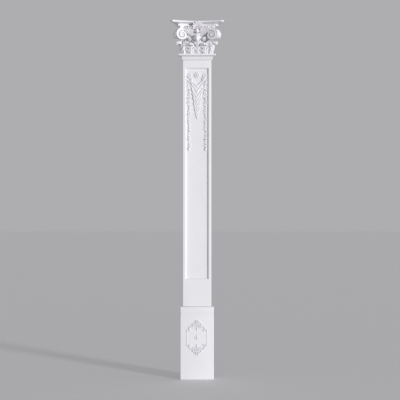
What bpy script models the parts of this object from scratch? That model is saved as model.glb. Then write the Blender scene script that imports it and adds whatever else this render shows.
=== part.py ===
"""Pilaster in three moulded pieces, made to be fixed flat against a wall.

A plain base block carries a long panelled shaft, and the shaft carries a carved capital with
acanthus leaves, corner volutes and a hollow-sided abacus. The wall plane is y = 0, the front
faces -Y, x runs across and z goes up from the floor. Every length is in metres.
"""

import math

import bmesh
import bpy
import numpy as np

# Joints between the three pieces
SEAM = 0.0003

# Base block
BASE_WIDTH = 0.281
BASE_DEPTH = 0.063
BASE_HEIGHT = 0.610
BASE_ROUNDING = 0.005
BASE_GROOVE_WIDTH = 0.009
BASE_GROOVE_DEPTH = 0.003
BASE_GROOVE_DROP = 0.052
BASE_GROOVE_PITCH = 0.022

# Lozenge ornament on the base block
LOZENGE_CENTRE_DROP = 0.262
LOZENGE_HALF_WIDTH = 0.084
LOZENGE_SIDE_LENGTH = 0.123
LOZENGE_POINT_RISE = 0.089
LOZENGE_BEAD_RADIUS = 0.0058
LOZENGE_BEAD_PITCH = 0.0137
LOZENGE_STUD_RADIUS = 0.0065
SCROLL_LEAF_LENGTH = 0.034
SCROLL_LEAF_WIDTH = 0.013
SCROLL_LEAF_RELIEF = 0.0065
SCROLL_LEAF_COUNT = 4
DROP_LENGTH = 0.024
FLOWER_RADIUS = 0.018

# Shaft board and its sunk panel
SHAFT_WIDTH = 0.240
SHAFT_DEPTH = 0.041
SHAFT_LENGTH = 2.070
SHAFT_ROUNDING = 0.005
PANEL_SINK = 0.014
PANEL_SIDE_MARGIN = 0.023
PANEL_TOP_MARGIN = 0.068
PANEL_FOOT_MARGIN = 0.230
PANEL_LIP = 0.002
PANEL_COVE_WIDTH = 0.014

# Cloth, bows and garlands on the panel
ROSETTE_DROP = 0.127
ROSETTE_RADIUS = 0.027
ROSETTE_PETALS = 8
CLOTH_DROP = 0.167
CLOTH_HALF_WIDTH = 0.053
CLOTH_LENGTH = 0.328
CLOTH_SAG = 0.046
CLOTH_FOLDS = 6
CLOTH_RELIEF = 0.011
BOW_SPACING = 0.0625
BOW_LENGTH = 0.040
GARLAND_SPACING = 0.0705
GARLAND_DROP = 0.160
GARLAND_LENGTH = 0.600
GARLAND_LEAF_PITCH = 0.0305
GARLAND_LEAF_LENGTH = 0.037
GARLAND_LEAF_WIDTH = 0.021
GARLAND_STEM_WIDTH = 0.012
GARLAND_RELIEF = 0.009
GARLAND_TIP_SHARE = 0.55

# Capital: moulded neck
CAPITAL_HEIGHT = 0.320
NECK_WIDTH = 0.257
NECK_DEPTH = 0.050
NECK_BAND = 0.014
NECK_COVE_HEIGHT = 0.019
NECK_COVE_REACH = 0.0295
NECK_FILLET = 0.014

# Capital: bell and abacus
BELL_WIDTH = 0.266
BELL_DEPTH = 0.055
BELL_LIP_REACH = 0.022
ABACUS_HEIGHT = 0.044
ABACUS_SPREAD = 0.450
ABACUS_WALL_WIDTH = 0.384
ABACUS_DEPTH = 0.153
ABACUS_HOLLOW = 0.050
ABACUS_HORN_CUT = 0.022

# Capital: volutes
VOLUTE_SPACING = 0.120
VOLUTE_RISE = 0.202
VOLUTE_FACE_DEPTH = 0.110
VOLUTE_FLARE = 0.40
VOLUTE_TOP_RADIUS = 0.060
VOLUTE_SHRINK = 0.45
VOLUTE_BAND_SHARE = 0.37
VOLUTE_STEM_TURN = -0.26
VOLUTE_TURNS = 1.9
VOLUTE_RELIEF = 0.010
VOLUTE_BODY = 0.030
VOLUTE_EYE_RADIUS = 0.0085
VOLUTE_DOME = 0.003
SIDE_VOLUTE_FACE = 0.184
SIDE_VOLUTE_DEPTH = 0.085
SIDE_VOLUTE_TOP_RADIUS = 0.050
SIDE_VOLUTE_DOME = 0.012

# Capital: acanthus leaves
LOWER_LEAF_SPACING = 0.058
LOWER_LEAF_RISE = 0.096
LOWER_LEAF_WIDTH = 0.074
LOWER_LEAF_CURL = 0.012
CORNER_LEAF_RISE = 0.115
CORNER_LEAF_WIDTH = 0.064
CORNER_LEAF_CURL = 0.015
CENTRE_LEAF_RISE = 0.153
CENTRE_LEAF_WIDTH = 0.076
CENTRE_LEAF_CURL = 0.016
TONGUE_FOOT = 0.118
TONGUE_RISE = 0.124
TONGUE_WIDTH = 0.056
TONGUE_CURL = 0.011
LEAF_THICKNESS = 0.009
LEAF_TIP_SHARE = 0.62
LEAF_LOBES = 3

# Capital: small curls, sprays and the flower on the abacus
HELIX_SPACING = 0.061
HELIX_RISE = 0.170
HELIX_RADIUS = 0.018
FLEURON_RISE = 0.268
FLEURON_RADIUS = 0.017
FLEURON_LEAF_LENGTH = 0.046
SPRAY_SPACING = 0.030
SPRAY_RISE = 0.228
SPRAY_LOBES = 4
SPRAY_LOBE_LENGTH = 0.052
SPRAY_LOBE_WIDTH = 0.018

# How far carving is sunk into the body that carries it
ROOT = 0.004

# Faces that meet at less than this angle are one flat face
FLAT_ANGLE = 0.002

TURN = 2.0 * math.pi
SIDES = (-1.0, 1.0)
FRONT = np.array((0.0, -1.0, 0.0))
UP = np.array((0.0, 0.0, 1.0))
RIGHT = np.array((1.0, 0.0, 0.0))

SHAFT_FOOT = BASE_HEIGHT + SEAM
SHAFT_TOP = SHAFT_FOOT + SHAFT_LENGTH - 2.0 * SEAM
CAPITAL_FOOT = SHAFT_TOP + SEAM
PANEL_DEPTH = SHAFT_DEPTH - PANEL_SINK
BELL_FOOT = NECK_BAND + NECK_COVE_HEIGHT + NECK_FILLET


def at(x, depth, z):
    """Point at x, standing depth out from the wall, at height z."""
    return np.array((x, -depth, z))


def clear_scene():
    """Remove every object of the scene."""
    for thing in list(bpy.data.objects):
        bpy.data.objects.remove(thing, do_unlink=True)


def plaster_white(name, tint):
    """Material of one moulding: smooth white painted resin with a satin surface."""
    material = bpy.data.materials.new(name)
    material.use_nodes = True
    shader = material.node_tree.nodes["Principled BSDF"]
    shader.inputs["Base Color"].default_value = (tint, tint, tint, 1.0)
    shader.inputs["Roughness"].default_value = 0.5
    shader.inputs["Metallic"].default_value = 0.0
    return material


def closed_object(name, points, faces, material):
    """Object of one closed body, with its quads split and its faces turned outwards."""
    mesh = bpy.data.meshes.new(name)
    mesh.from_pydata([tuple(point) for point in points], [], faces)
    shell = bmesh.new()
    shell.from_mesh(mesh)
    bmesh.ops.dissolve_limit(shell, angle_limit=FLAT_ANGLE, verts=shell.verts, edges=shell.edges)
    bmesh.ops.triangulate(shell, faces=[face for face in shell.faces if len(face.verts) == 4])
    bmesh.ops.recalc_face_normals(shell, faces=shell.faces)
    shell.to_mesh(mesh)
    shell.free()
    mesh.materials.append(material)
    body = bpy.data.objects.new(name, mesh)
    bpy.context.scene.collection.objects.link(body)
    return body


def ring_body(name, rings, material):
    """Closed body through rings of points, with a flat cap on the first and the last ring."""
    rings = np.asarray(rings)
    count, size = rings.shape[:2]
    faces = [list(range(size)), list(range((count - 1) * size, count * size))]
    for ring in range(count - 1):
        for point in range(size):
            after = (point + 1) % size
            low = ring * size
            high = low + size
            faces.append((low + point, low + after, high + after, high + point))
    return closed_object(name, rings.reshape(-1, 3), faces, material)


def sheet_body(name, front, back, material):
    """Closed body between a front and a back grid of points of the same size."""
    rows, columns = front.shape[:2]
    behind = rows * columns
    faces = []
    for row in range(rows - 1):
        for column in range(columns - 1):
            a = row * columns + column
            b = a + columns
            faces.append((a, a + 1, b + 1, b))
            faces.append((behind + a, behind + b, behind + b + 1, behind + a + 1))
    border = list(range(columns))
    border += [row * columns + columns - 1 for row in range(1, rows)]
    border += [(rows - 1) * columns + column for column in range(columns - 2, -1, -1)]
    border += [row * columns for row in range(rows - 2, 0, -1)]
    for index, here in enumerate(border):
        after = border[(index + 1) % len(border)]
        faces.append((here, behind + here, behind + after, after))
    points = np.concatenate((front.reshape(-1, 3), back.reshape(-1, 3)))
    return closed_object(name, points, faces, material)


def unite(body, carvings, label):
    """Join the carvings to the body with one Boolean union."""
    group = bpy.data.collections.new(label)
    bpy.context.scene.collection.children.link(group)
    for carving in carvings:
        bpy.context.scene.collection.objects.unlink(carving)
        group.objects.link(carving)
        carving.hide_render = True
        carving.display_type = "WIRE"
    joint = body.modifiers.new(label, "BOOLEAN")
    joint.operation = "UNION"
    joint.operand_type = "COLLECTION"
    joint.collection = group
    joint.solver = "EXACT"


def petal(name, root, along, normal, length, width, relief, material, rows=4):
    """Small pointed leaf: a lens in outline, ridged along its middle, its edges sunk."""
    along = along / np.linalg.norm(along)
    side = np.cross(normal, along)
    share = np.linspace(0.0, 1.0, rows)[:, None]
    across = np.array((-1.0, 0.0, 1.0))[None, :]
    half = 0.5 * width * (0.12 + 0.88 * np.sin(math.pi * (0.10 + 0.84 * share)))
    height = relief * (0.35 + 0.65 * np.sin(math.pi * (0.15 + 0.75 * share)))
    lift = np.where(across == 0.0, height, -ROOT * 0.5)
    flat = root + along * (length * share)[..., None] + side * (half * across)[..., None]
    front = flat + normal * lift[..., None]
    back = flat + normal * np.full(lift.shape, -ROOT * 1.5)[..., None]
    return sheet_body(name, front, back, material)


def blade(name, root, along, normal, length, width, relief, material):
    """Smallest carved leaf: four slopes that meet at one high point, on a sunk foot."""
    along = along / np.linalg.norm(along)
    side = np.cross(normal, along)
    grow = 1.0 + ROOT / relief
    peak = root + along * length * 0.42
    outline = ((-0.42 * length, 0.0), (0.0, -0.5 * width), (0.58 * length, 0.0),
               (0.0, 0.5 * width))
    foot = [peak + (along * ahead + side * aside) * grow - normal * ROOT
            for ahead, aside in outline]
    points = np.array(foot + [peak + normal * relief])
    faces = [(0, 1, 2, 3), (0, 1, 4), (1, 2, 4), (2, 3, 4), (3, 0, 4)]
    return closed_object(name, points, faces, material)


def button(name, centre, normal, radius, relief, material, sides=8):
    """Low round boss standing on a surface: a sunk rim, a shoulder and a small flat top."""
    normal = normal / np.linalg.norm(normal)
    first = np.cross(normal, UP if abs(normal[2]) < 0.9 else RIGHT)
    first = first / np.linalg.norm(first)
    second = np.cross(normal, first)
    angle = np.arange(sides) * TURN / sides
    circle = np.cos(angle)[:, None] * first + np.sin(angle)[:, None] * second
    levels = ((1.0, -ROOT), (1.0, 0.15 * relief), (0.72, 0.78 * relief), (0.3, relief))
    rings = [centre + circle * radius * share + normal * lift for share, lift in levels]
    return ring_body(name, rings, material)


def rosette(name, centre, radius, relief, petals, material):
    """Open flower on the front face: petals as a scalloped rim, a hollow and an eye."""
    angle = np.arange(2 * petals) * 0.5 * TURN / petals
    circle = np.cos(angle)[:, None] * RIGHT + np.sin(angle)[:, None] * UP
    scallop = np.where(np.arange(2 * petals) % 2 == 0, 1.0, 0.72)[:, None]
    levels = ((scallop, -ROOT, -ROOT), (scallop, 0.5, 0.2), (scallop * 0.7, 1.0, 0.35),
              (0.36, 0.35, 0.35), (0.30, 1.1, 1.1), (0.12, 1.3, 1.3))
    rings = []
    for share, crest, valley in levels:
        lift = np.where(scallop == 1.0, crest, valley) * (relief if crest > 0.0 else 1.0)
        rings.append(centre + circle * radius * share + FRONT * lift)
    return ring_body(name, rings, material)


def rectangle_ring(left, right, low, high, depth):
    """Four corners of an upright rectangle standing depth out from the wall."""
    return [at(left, depth, low), at(right, depth, low), at(right, depth, high),
            at(left, depth, high)]


def base_block(material):
    """Base block: rounded edges and two fine grooves near its top."""
    half = 0.5 * BASE_WIDTH
    groove = BASE_GROOVE_DEPTH
    levels = [(0.0, BASE_ROUNDING * 0.5), (BASE_ROUNDING * 0.5, 0.0)]
    for number in range(1, -1, -1):
        middle = BASE_HEIGHT - BASE_GROOVE_DROP - number * BASE_GROOVE_PITCH
        reach = 0.5 * BASE_GROOVE_WIDTH
        levels += [(middle - reach, 0.0), (middle - reach * 0.5, groove),
                   (middle + reach * 0.5, groove), (middle + reach, 0.0)]
    levels += [(BASE_HEIGHT - BASE_ROUNDING, 0.0), (BASE_HEIGHT, BASE_ROUNDING)]
    rings = []
    for z, inset in levels:
        wide = half - inset
        deep = BASE_DEPTH - inset
        edge = BASE_ROUNDING
        rings.append([at(-wide, 0.0, z), at(-wide, deep - edge, z), at(-wide + edge, deep, z),
                      at(wide - edge, deep, z), at(wide, deep - edge, z), at(wide, 0.0, z)])
    return ring_body("base", rings, material)


def lozenge_corner(side, end):
    """Corner stud of the lozenge, side -1 or 1 across and end -1 or 1 up."""
    middle = BASE_HEIGHT - LOZENGE_CENTRE_DROP
    return at(side * LOZENGE_HALF_WIDTH, BASE_DEPTH, middle + end * 0.5 * LOZENGE_SIDE_LENGTH)


def lozenge_sides(material):
    """Strings of beads down the two upright sides, with a stud at each corner."""
    parts = []
    count = int(LOZENGE_SIDE_LENGTH / LOZENGE_BEAD_PITCH)
    for side in SIDES:
        low = lozenge_corner(side, -1.0)
        high = lozenge_corner(side, 1.0)
        for index in range(1, count):
            centre = low + (high - low) * index / count
            parts.append(blade(f"bead_{side:.0f}_{index}", centre - UP * LOZENGE_BEAD_RADIUS, UP,
                               FRONT, 2.0 * LOZENGE_BEAD_RADIUS, 2.0 * LOZENGE_BEAD_RADIUS,
                               LOZENGE_BEAD_RADIUS, material))
        for end, centre in enumerate((low, high)):
            parts.append(button(f"stud_{side:.0f}_{end}", centre, FRONT, LOZENGE_STUD_RADIUS,
                                LOZENGE_STUD_RADIUS, material, 6))
    return parts


def lozenge_point(end, material):
    """Leaf scrolls that run from two corners to the top or bottom point, and what they hold."""
    parts = []
    middle = BASE_HEIGHT - LOZENGE_CENTRE_DROP
    tip_height = middle + end * (0.5 * LOZENGE_SIDE_LENGTH + LOZENGE_POINT_RISE)
    point = at(0.0, BASE_DEPTH, tip_height)
    for side in SIDES:
        corner = lozenge_corner(side, end)
        run = point - corner
        forward = run / np.linalg.norm(run)
        inward = -side * RIGHT - end * UP
        inward = inward - np.dot(inward, forward) * forward
        inward = inward / np.linalg.norm(inward)
        for index in range(SCROLL_LEAF_COUNT):
            root = corner + run * (0.05 + 0.86 * index / (SCROLL_LEAF_COUNT - 0.35))
            name = f"scroll_{side:.0f}_{end:.0f}_{index}"
            parts.append(blade(name, root, forward + 0.12 * inward, FRONT, SCROLL_LEAF_LENGTH,
                               SCROLL_LEAF_WIDTH, SCROLL_LEAF_RELIEF, material))
            parts.append(blade(name + "_lobe", root + run * 0.10, 0.5 * forward + inward, FRONT,
                               SCROLL_LEAF_LENGTH * 0.62, SCROLL_LEAF_WIDTH * 0.8,
                               SCROLL_LEAF_RELIEF * 0.8, material))
    heart = point - end * UP * LOZENGE_POINT_RISE * 0.66
    for step in range(-2, 3):
        fan = math.sin(step * 0.62) * RIGHT + end * math.cos(step * 0.62) * UP
        parts.append(blade(f"fan_{end:.0f}_{step}", heart, fan, FRONT, SCROLL_LEAF_LENGTH,
                           SCROLL_LEAF_WIDTH * 0.85, SCROLL_LEAF_RELIEF, material))
    parts.append(blade(f"drop_{end:.0f}", heart + end * UP * ROOT, -end * UP, FRONT, DROP_LENGTH,
                       SCROLL_LEAF_WIDTH, SCROLL_LEAF_RELIEF, material))
    return parts


def build_base(material):
    """Base block with its lozenge."""
    body = base_block(material)
    parts = lozenge_sides(material)
    for end in SIDES:
        parts += lozenge_point(end, material)
    middle = at(0.0, BASE_DEPTH, BASE_HEIGHT - LOZENGE_CENTRE_DROP)
    parts.append(rosette("flower", middle, FLOWER_RADIUS, SCROLL_LEAF_RELIEF, 4, material))
    unite(body, parts, "base_carving")
    return body


def shaft_board(material):
    """Shaft board: nested rectangles from the wall to the floor of the sunk panel."""
    half = 0.5 * SHAFT_WIDTH
    low, high = SHAFT_FOOT, SHAFT_TOP
    edge = SHAFT_ROUNDING
    rings = [rectangle_ring(-half, half, low, high, 0.0),
             rectangle_ring(-half, half, low, high, SHAFT_DEPTH - edge),
             rectangle_ring(edge - half, half - edge, low + edge, high - edge, SHAFT_DEPTH)]
    drop = PANEL_SINK - PANEL_LIP
    steps = [(0.0, 0.0), (0.0, PANEL_LIP)]
    for angle in (0.3, 0.65, 1.0):
        sweep = angle * 0.5 * math.pi
        steps.append((PANEL_COVE_WIDTH * (1.0 - math.cos(sweep)),
                      PANEL_LIP + drop * math.sin(sweep)))
    for inset, sink in steps:
        side = half - PANEL_SIDE_MARGIN - inset
        rings.append(rectangle_ring(-side, side, low + PANEL_FOOT_MARGIN + inset,
                                    high - PANEL_TOP_MARGIN - inset, SHAFT_DEPTH - sink))
    return ring_body("shaft", rings, material)


def hanging_cloth(material):
    """Pointed cloth hung from the two bows, in nested V folds that sag to its middle."""
    rows = 2 * CLOTH_FOLDS + 3
    share = np.linspace(0.0, 1.0, rows)[:, None]
    across = np.linspace(-1.0, 1.0, 9)[None, :]
    edge_drop = CLOTH_LENGTH * share ** 1.6
    middle_drop = CLOTH_SAG + (CLOTH_LENGTH - CLOTH_SAG) * share
    bend = np.abs(across) ** 1.2
    drop = middle_drop + (edge_drop - middle_drop) * bend
    half = CLOTH_HALF_WIDTH * (0.02 + 0.98 * np.clip(1.0 - edge_drop / CLOTH_LENGTH, 0, 1) ** 0.8)
    fold = np.abs(np.cos(math.pi * (CLOTH_FOLDS + 1) * share))
    lift = CLOTH_RELIEF * (0.45 + 0.55 * fold) * (1.0 - 0.35 * np.abs(across))
    lift = lift * (1.0 - 0.4 * share)
    lift = np.where(np.abs(across) == 1.0, -ROOT * 0.5, lift)
    top = SHAFT_TOP - CLOTH_DROP
    flat = np.stack((half * across, np.full(drop.shape, -PANEL_DEPTH), top - drop), axis=-1)
    front = flat + FRONT * lift[..., None]
    back = flat - FRONT * ROOT * 1.5
    return sheet_body("cloth", front, back, material)


def bow(side, material):
    """Knotted ribbon at one top corner: a loop above the knot and two crossed tails."""
    centre = at(side * BOW_SPACING, PANEL_DEPTH, SHAFT_TOP - CLOTH_DROP)
    width = 0.34 * BOW_LENGTH
    relief = CLOTH_RELIEF * 0.8
    parts = [button(f"knot_{side:.0f}", centre, FRONT, 0.24 * BOW_LENGTH, relief, material, 6)]
    for number, angle in enumerate((1.32, 1.82, 3.75, 5.5, 0.35)):
        along = side * math.cos(angle) * RIGHT + math.sin(angle) * UP
        reach = BOW_LENGTH * (1.1 if number < 2 else 0.9)
        parts.append(blade(f"bow_{side:.0f}_{number}", centre, along, FRONT, reach, width,
                           relief, material))
    return parts


def garland(side, material):
    """Garland of leaves hung down one side, tapering to a bud at its end."""
    parts = []
    top = at(side * GARLAND_SPACING, PANEL_DEPTH, SHAFT_TOP - GARLAND_DROP)
    count = int(GARLAND_LENGTH / GARLAND_LEAF_PITCH)
    parts.append(petal(f"stem_{side:.0f}", top, -UP, FRONT, GARLAND_LENGTH, GARLAND_STEM_WIDTH,
                       GARLAND_RELIEF * 0.6, material))
    for index in range(count):
        share = index / count
        size = 1.0 - (1.0 - GARLAND_TIP_SHARE) * share
        root = top - UP * GARLAND_LENGTH * share
        for hand in SIDES:
            lean = 0.62 + 0.22 * math.cos(index * 2.1 + hand)
            along = hand * math.sin(lean) * RIGHT - math.cos(lean) * UP
            lead = root - UP * GARLAND_LEAF_PITCH * 0.25 * (1.0 + hand)
            parts.append(blade(f"leaf_{side:.0f}_{index}_{hand:.0f}", lead, along, FRONT,
                               GARLAND_LEAF_LENGTH * size, GARLAND_LEAF_WIDTH * size,
                               GARLAND_RELIEF * (0.75 + 0.25 * size), material))
    end = top - UP * GARLAND_LENGTH
    parts.append(button(f"bud_{side:.0f}", end, FRONT, GARLAND_LEAF_WIDTH * 0.4,
                        GARLAND_RELIEF, material, 6))
    return parts


def build_shaft(material):
    """Shaft board with its cloth, bows, garlands and rosette."""
    body = shaft_board(material)
    parts = [hanging_cloth(material)]
    for side in SIDES:
        parts += bow(side, material)
        parts += garland(side, material)
    centre = at(0.0, PANEL_DEPTH, SHAFT_TOP - ROSETTE_DROP)
    parts.append(rosette("rosette", centre, ROSETTE_RADIUS, CLOTH_RELIEF * 0.8,
                         ROSETTE_PETALS, material))
    unite(body, parts, "shaft_carving")
    return body


def capital_plan(z, half_wall, half_horn, depth_horn, depth_middle, cut):
    """Plan outline of the capital at height z: hollow sides and front, cut corners."""
    side_share = np.linspace(0.0, 1.0, 3)
    front_share = np.linspace(-1.0, 1.0, 11)
    corner = half_horn - cut
    side_x = half_wall + (half_horn - half_wall) * side_share ** 1.6
    side_depth = (depth_horn - cut) * side_share
    front_depth = depth_middle + (depth_horn - depth_middle) * np.abs(front_share) ** 1.8
    ring = [at(-x, depth, z) for x, depth in zip(side_x, side_depth)]
    ring += [at(corner * share, depth, z) for share, depth in zip(front_share, front_depth)]
    ring += [at(x, depth, z) for x, depth in zip(side_x[::-1], side_depth[::-1])]
    return ring


def capital_core(material):
    """Neck mouldings, bell and abacus in one stack of plan outlines."""
    foot = CAPITAL_FOOT
    neck = 0.5 * NECK_WIDTH
    reach = NECK_COVE_REACH
    edge = 0.004
    rings = []
    neck_levels = [(0.0, 0.0), (NECK_BAND, 0.0)]
    for angle in (0.35, 0.7, 1.0):
        sweep = angle * 0.5 * math.pi
        neck_levels.append((NECK_BAND + NECK_COVE_HEIGHT * math.sin(sweep),
                            (reach - 0.003) * (1.0 - math.cos(sweep))))
    neck_levels += [(NECK_BAND + NECK_COVE_HEIGHT + 0.001, reach), (BELL_FOOT - 0.002, reach),
                    (BELL_FOOT, reach - 0.002)]
    for z, out in neck_levels:
        rings.append(capital_plan(foot + z, neck + out, neck + out, NECK_DEPTH + out,
                                  NECK_DEPTH + out, edge))
    bell_top = CAPITAL_HEIGHT - ABACUS_HEIGHT
    bell = 0.5 * BELL_WIDTH
    for share, out in ((0.01, 0.0), (0.55, -0.002), (0.8, 0.25), (0.93, 0.75), (0.99, 1.0)):
        z = BELL_FOOT + (bell_top - BELL_FOOT) * share
        spread = out * BELL_LIP_REACH if out > 0.0 else out
        rings.append(capital_plan(foot + z, bell + spread * 0.8, bell + spread * 0.8,
                                  BELL_DEPTH + spread, BELL_DEPTH + spread, 0.012))
    abacus_levels = ((0.0, 0.048), (0.30, 0.047), (0.33, 0.056), (0.43, 0.056), (0.46, 0.042),
                     (0.63, 0.010), (0.70, 0.0), (0.84, 0.0), (1.0, 0.022))
    for share, inset in abacus_levels:
        z = bell_top + ABACUS_HEIGHT * share
        rings.append(capital_plan(foot + z, 0.5 * ABACUS_WALL_WIDTH - inset,
                                  0.5 * ABACUS_SPREAD - inset, ABACUS_DEPTH - inset,
                                  ABACUS_DEPTH - ABACUS_HOLLOW - inset * 0.7,
                                  ABACUS_HORN_CUT))
    return ring_body("capital", rings, material)


def acanthus(name, foot, facing, rise, width, curl, material, lean=0.10, droop=0.008,
             inset=0.018):
    """Acanthus leaf: it climbs, then rolls over outwards, with notched lobes down each edge.

    The leaf follows a straight stem, then an arc of radius curl until it points down, and hangs
    on by the length droop. Its half-width swells from the foot and narrows to the tip, and is
    nicked between lobes. The stem is backed into the bell by the length inset and its own lean.
    """
    facing = facing / np.linalg.norm(facing)
    side = np.cross(UP, facing)
    turn = 3.0 - lean
    rows = 2 * LEAF_LOBES + 4
    share = np.linspace(0.0, 1.0, rows)[:, None]
    across = np.linspace(-1.0, 1.0, 5)[None, :]
    stem = (rise - curl) / math.cos(lean)
    total = stem + curl * turn + droop
    length = share * total * np.ones(across.shape)
    straight = np.minimum(length, stem)
    angle = lean + np.clip((length - stem) / curl, 0.0, turn)
    hang = np.clip(length - stem - curl * turn, 0.0, None)
    out = straight * math.sin(lean) + curl * (math.cos(lean) - np.cos(angle))
    out = out + hang * math.sin(lean + turn)
    climb = straight * math.cos(lean) + curl * (np.sin(angle) - math.sin(lean))
    climb = climb + hang * math.cos(lean + turn)
    swell = (0.72 + 0.28 * np.sin(math.pi * share ** 0.8))
    swell = swell * (1.0 - (1.0 - LEAF_TIP_SHARE) * share ** 3)
    notched = (np.arange(rows) % 2 == 0)[:, None]
    half = 0.5 * width * swell * np.where(notched, 0.86, 1.0)
    rolled = (angle - lean) / turn
    climb = climb + 0.10 * width * np.abs(across) * (1.0 - rolled)
    bowed = across ** 2 * width * (-0.10 + 0.22 * rolled)
    vein = 0.003 * (across == 0.0) - 0.004 * notched * np.abs(across)
    normal = facing * np.cos(angle)[..., None] - UP * np.sin(angle)[..., None]
    middle = foot + facing * out[..., None] + UP * climb[..., None]
    front = middle + side * (half * across)[..., None] + normal * (bowed + vein)[..., None]
    backing = stem * math.sin(lean) + inset
    thickness = LEAF_THICKNESS + backing * np.clip(1.0 - 2.2 * rolled, 0.0, 1.0)
    back = front - normal * thickness[..., None]
    return sheet_body(name, front, back, material)


def spiral_radius(top_radius, turn):
    """Outer edge of a volute after the given part of a turn."""
    return top_radius * VOLUTE_SHRINK ** turn


def volute(name, centre, across, out, top_radius, dome, material, turns=VOLUTE_TURNS, steps=12):
    """Volute: a raised band that follows a logarithmic spiral over a sunk disc, with an eye.

    The band starts as a stem on the inner side, climbs over the top and turns outwards. The
    vector across points to the outer side and may slope, which flares the whole volute. Its face
    falls away from the eye by the length dome at the top radius.
    """
    parts = []
    count = int(round(steps * (turns - VOLUTE_STEM_TURN))) + 1
    rings = []
    for turn in np.linspace(VOLUTE_STEM_TURN, turns, count):
        edge = spiral_radius(top_radius, turn)
        inner = edge * (1.0 - VOLUTE_BAND_SHARE)
        direction = math.sin(TURN * turn) * across + math.cos(TURN * turn) * UP
        lift = VOLUTE_RELIEF * (0.5 + 0.35 * (turn - VOLUTE_STEM_TURN))
        dip = 0.16 * (edge - inner)
        section = ((edge, -VOLUTE_BODY), (edge, lift), (0.5 * (edge + inner), lift - dip),
                   (inner, lift), (inner, -VOLUTE_BODY))
        fall = dome * (edge / top_radius) ** 2
        rings.append([centre + direction * radius + out * (height - fall)
                      for radius, height in section])
    parts.append(ring_body(f"{name}_band", rings, material))
    angle = np.arange(12) * TURN / 12
    circle = np.sin(angle)[:, None] * across + np.cos(angle)[:, None] * UP
    disc = spiral_radius(top_radius, 0.72)
    eye = VOLUTE_EYE_RADIUS
    fall = dome * (disc / top_radius) ** 2
    levels = ((disc, -VOLUTE_BODY - ROOT), (disc, -fall), (2.0 * eye, 0.3 * VOLUTE_RELIEF),
              (eye, 1.25 * VOLUTE_RELIEF), (0.5 * eye, 1.5 * VOLUTE_RELIEF))
    rings = [centre + circle * radius + out * height for radius, height in levels]
    parts.append(ring_body(f"{name}_disc", rings, material))
    return parts


def corner_core(side, material):
    """Mass behind the corner volutes that ties them to the bell and to the abacus."""
    rise = CAPITAL_FOOT + VOLUTE_RISE
    high = CAPITAL_FOOT + CAPITAL_HEIGHT - ABACUS_HEIGHT + 0.002
    inner = 0.5 * BELL_WIDTH - 0.030
    front = VOLUTE_FACE_DEPTH
    rings = []
    for z, outer, nose in ((rise - 0.56 * VOLUTE_TOP_RADIUS, SIDE_VOLUTE_FACE - 0.022, 0.0),
                           (rise - 0.30 * VOLUTE_TOP_RADIUS, SIDE_VOLUTE_FACE - 0.008, 0.010),
                           (rise + 0.60 * VOLUTE_TOP_RADIUS, SIDE_VOLUTE_FACE - 0.012, 0.008),
                           (high, SIDE_VOLUTE_FACE - 0.034, -0.010)):
        plan = ((inner, 0.022), (outer, 0.044), (outer, front + nose - 0.008),
                (outer - 0.016, front + nose), (inner, front + nose - 0.040))
        rings.append([at(side * x, depth, z) for x, depth in plan])
    return ring_body(f"corner_{side:.0f}", rings, material)


def corner_carving(side, material):
    """Front volute, side volute, corner leaf and the small inner curl of one half."""
    parts = [corner_core(side, material)]
    rise = CAPITAL_FOOT + VOLUTE_RISE
    across = side * RIGHT + VOLUTE_FLARE * FRONT
    centre = at(side * VOLUTE_SPACING, VOLUTE_FACE_DEPTH, rise)
    parts += volute(f"volute_{side:.0f}", centre, across, FRONT, VOLUTE_TOP_RADIUS, VOLUTE_DOME,
                    material)
    centre = at(side * SIDE_VOLUTE_FACE, SIDE_VOLUTE_DEPTH, rise)
    parts += volute(f"side_volute_{side:.0f}", centre, FRONT, side * RIGHT,
                    SIDE_VOLUTE_TOP_RADIUS, SIDE_VOLUTE_DOME, material, 1.4, 10)
    foot = at(side * (0.5 * BELL_WIDTH - 0.008), BELL_DEPTH - 0.006,
              CAPITAL_FOOT + BELL_FOOT - 0.004)
    facing = side * 0.74 * RIGHT + 0.67 * FRONT
    parts.append(acanthus(f"corner_leaf_{side:.0f}", foot, facing, CORNER_LEAF_RISE,
                          CORNER_LEAF_WIDTH, CORNER_LEAF_CURL, material, inset=0.006))
    helix = at(side * HELIX_SPACING, BELL_DEPTH, CAPITAL_FOOT + HELIX_RISE)
    parts.append(button(f"helix_{side:.0f}", helix, FRONT, HELIX_RADIUS, 0.030, material, 9))
    return parts


def tilted(side_share, up_share, front_share):
    """Unit direction, and the facing direction nearest to the front that is square to it."""
    along = side_share * RIGHT + up_share * UP + front_share * FRONT
    along = along / np.linalg.norm(along)
    normal = FRONT - np.dot(FRONT, along) * along
    return along, normal / np.linalg.norm(normal)


def fleuron(material):
    """Flower at the middle of the abacus: leaves fanned upwards round a button, on a block."""
    heart = at(0.0, ABACUS_DEPTH - ABACUS_HOLLOW, CAPITAL_FOOT + FLEURON_RISE)
    reach = FLEURON_RADIUS * 1.2
    block = [[heart + x * RIGHT - depth * FRONT + z * UP for x, z in
              ((-reach, -0.6 * reach), (reach, -0.6 * reach), (reach, reach), (-reach, reach))]
             for depth in (0.5 * ABACUS_DEPTH, -0.001)]
    parts = [ring_body("fleuron_block", block, material)]
    for step in range(-2, 3):
        along, normal = tilted(math.sin(step * 0.72), math.cos(step * 0.72), 0.10)
        parts.append(petal(f"fleuron_leaf_{step}", heart, along, normal, FLEURON_LEAF_LENGTH,
                           FLEURON_LEAF_LENGTH * 0.44, 0.009, material))
    parts.append(button("fleuron_eye", heart, FRONT, FLEURON_RADIUS, 0.014, material, 8))
    return parts


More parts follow.
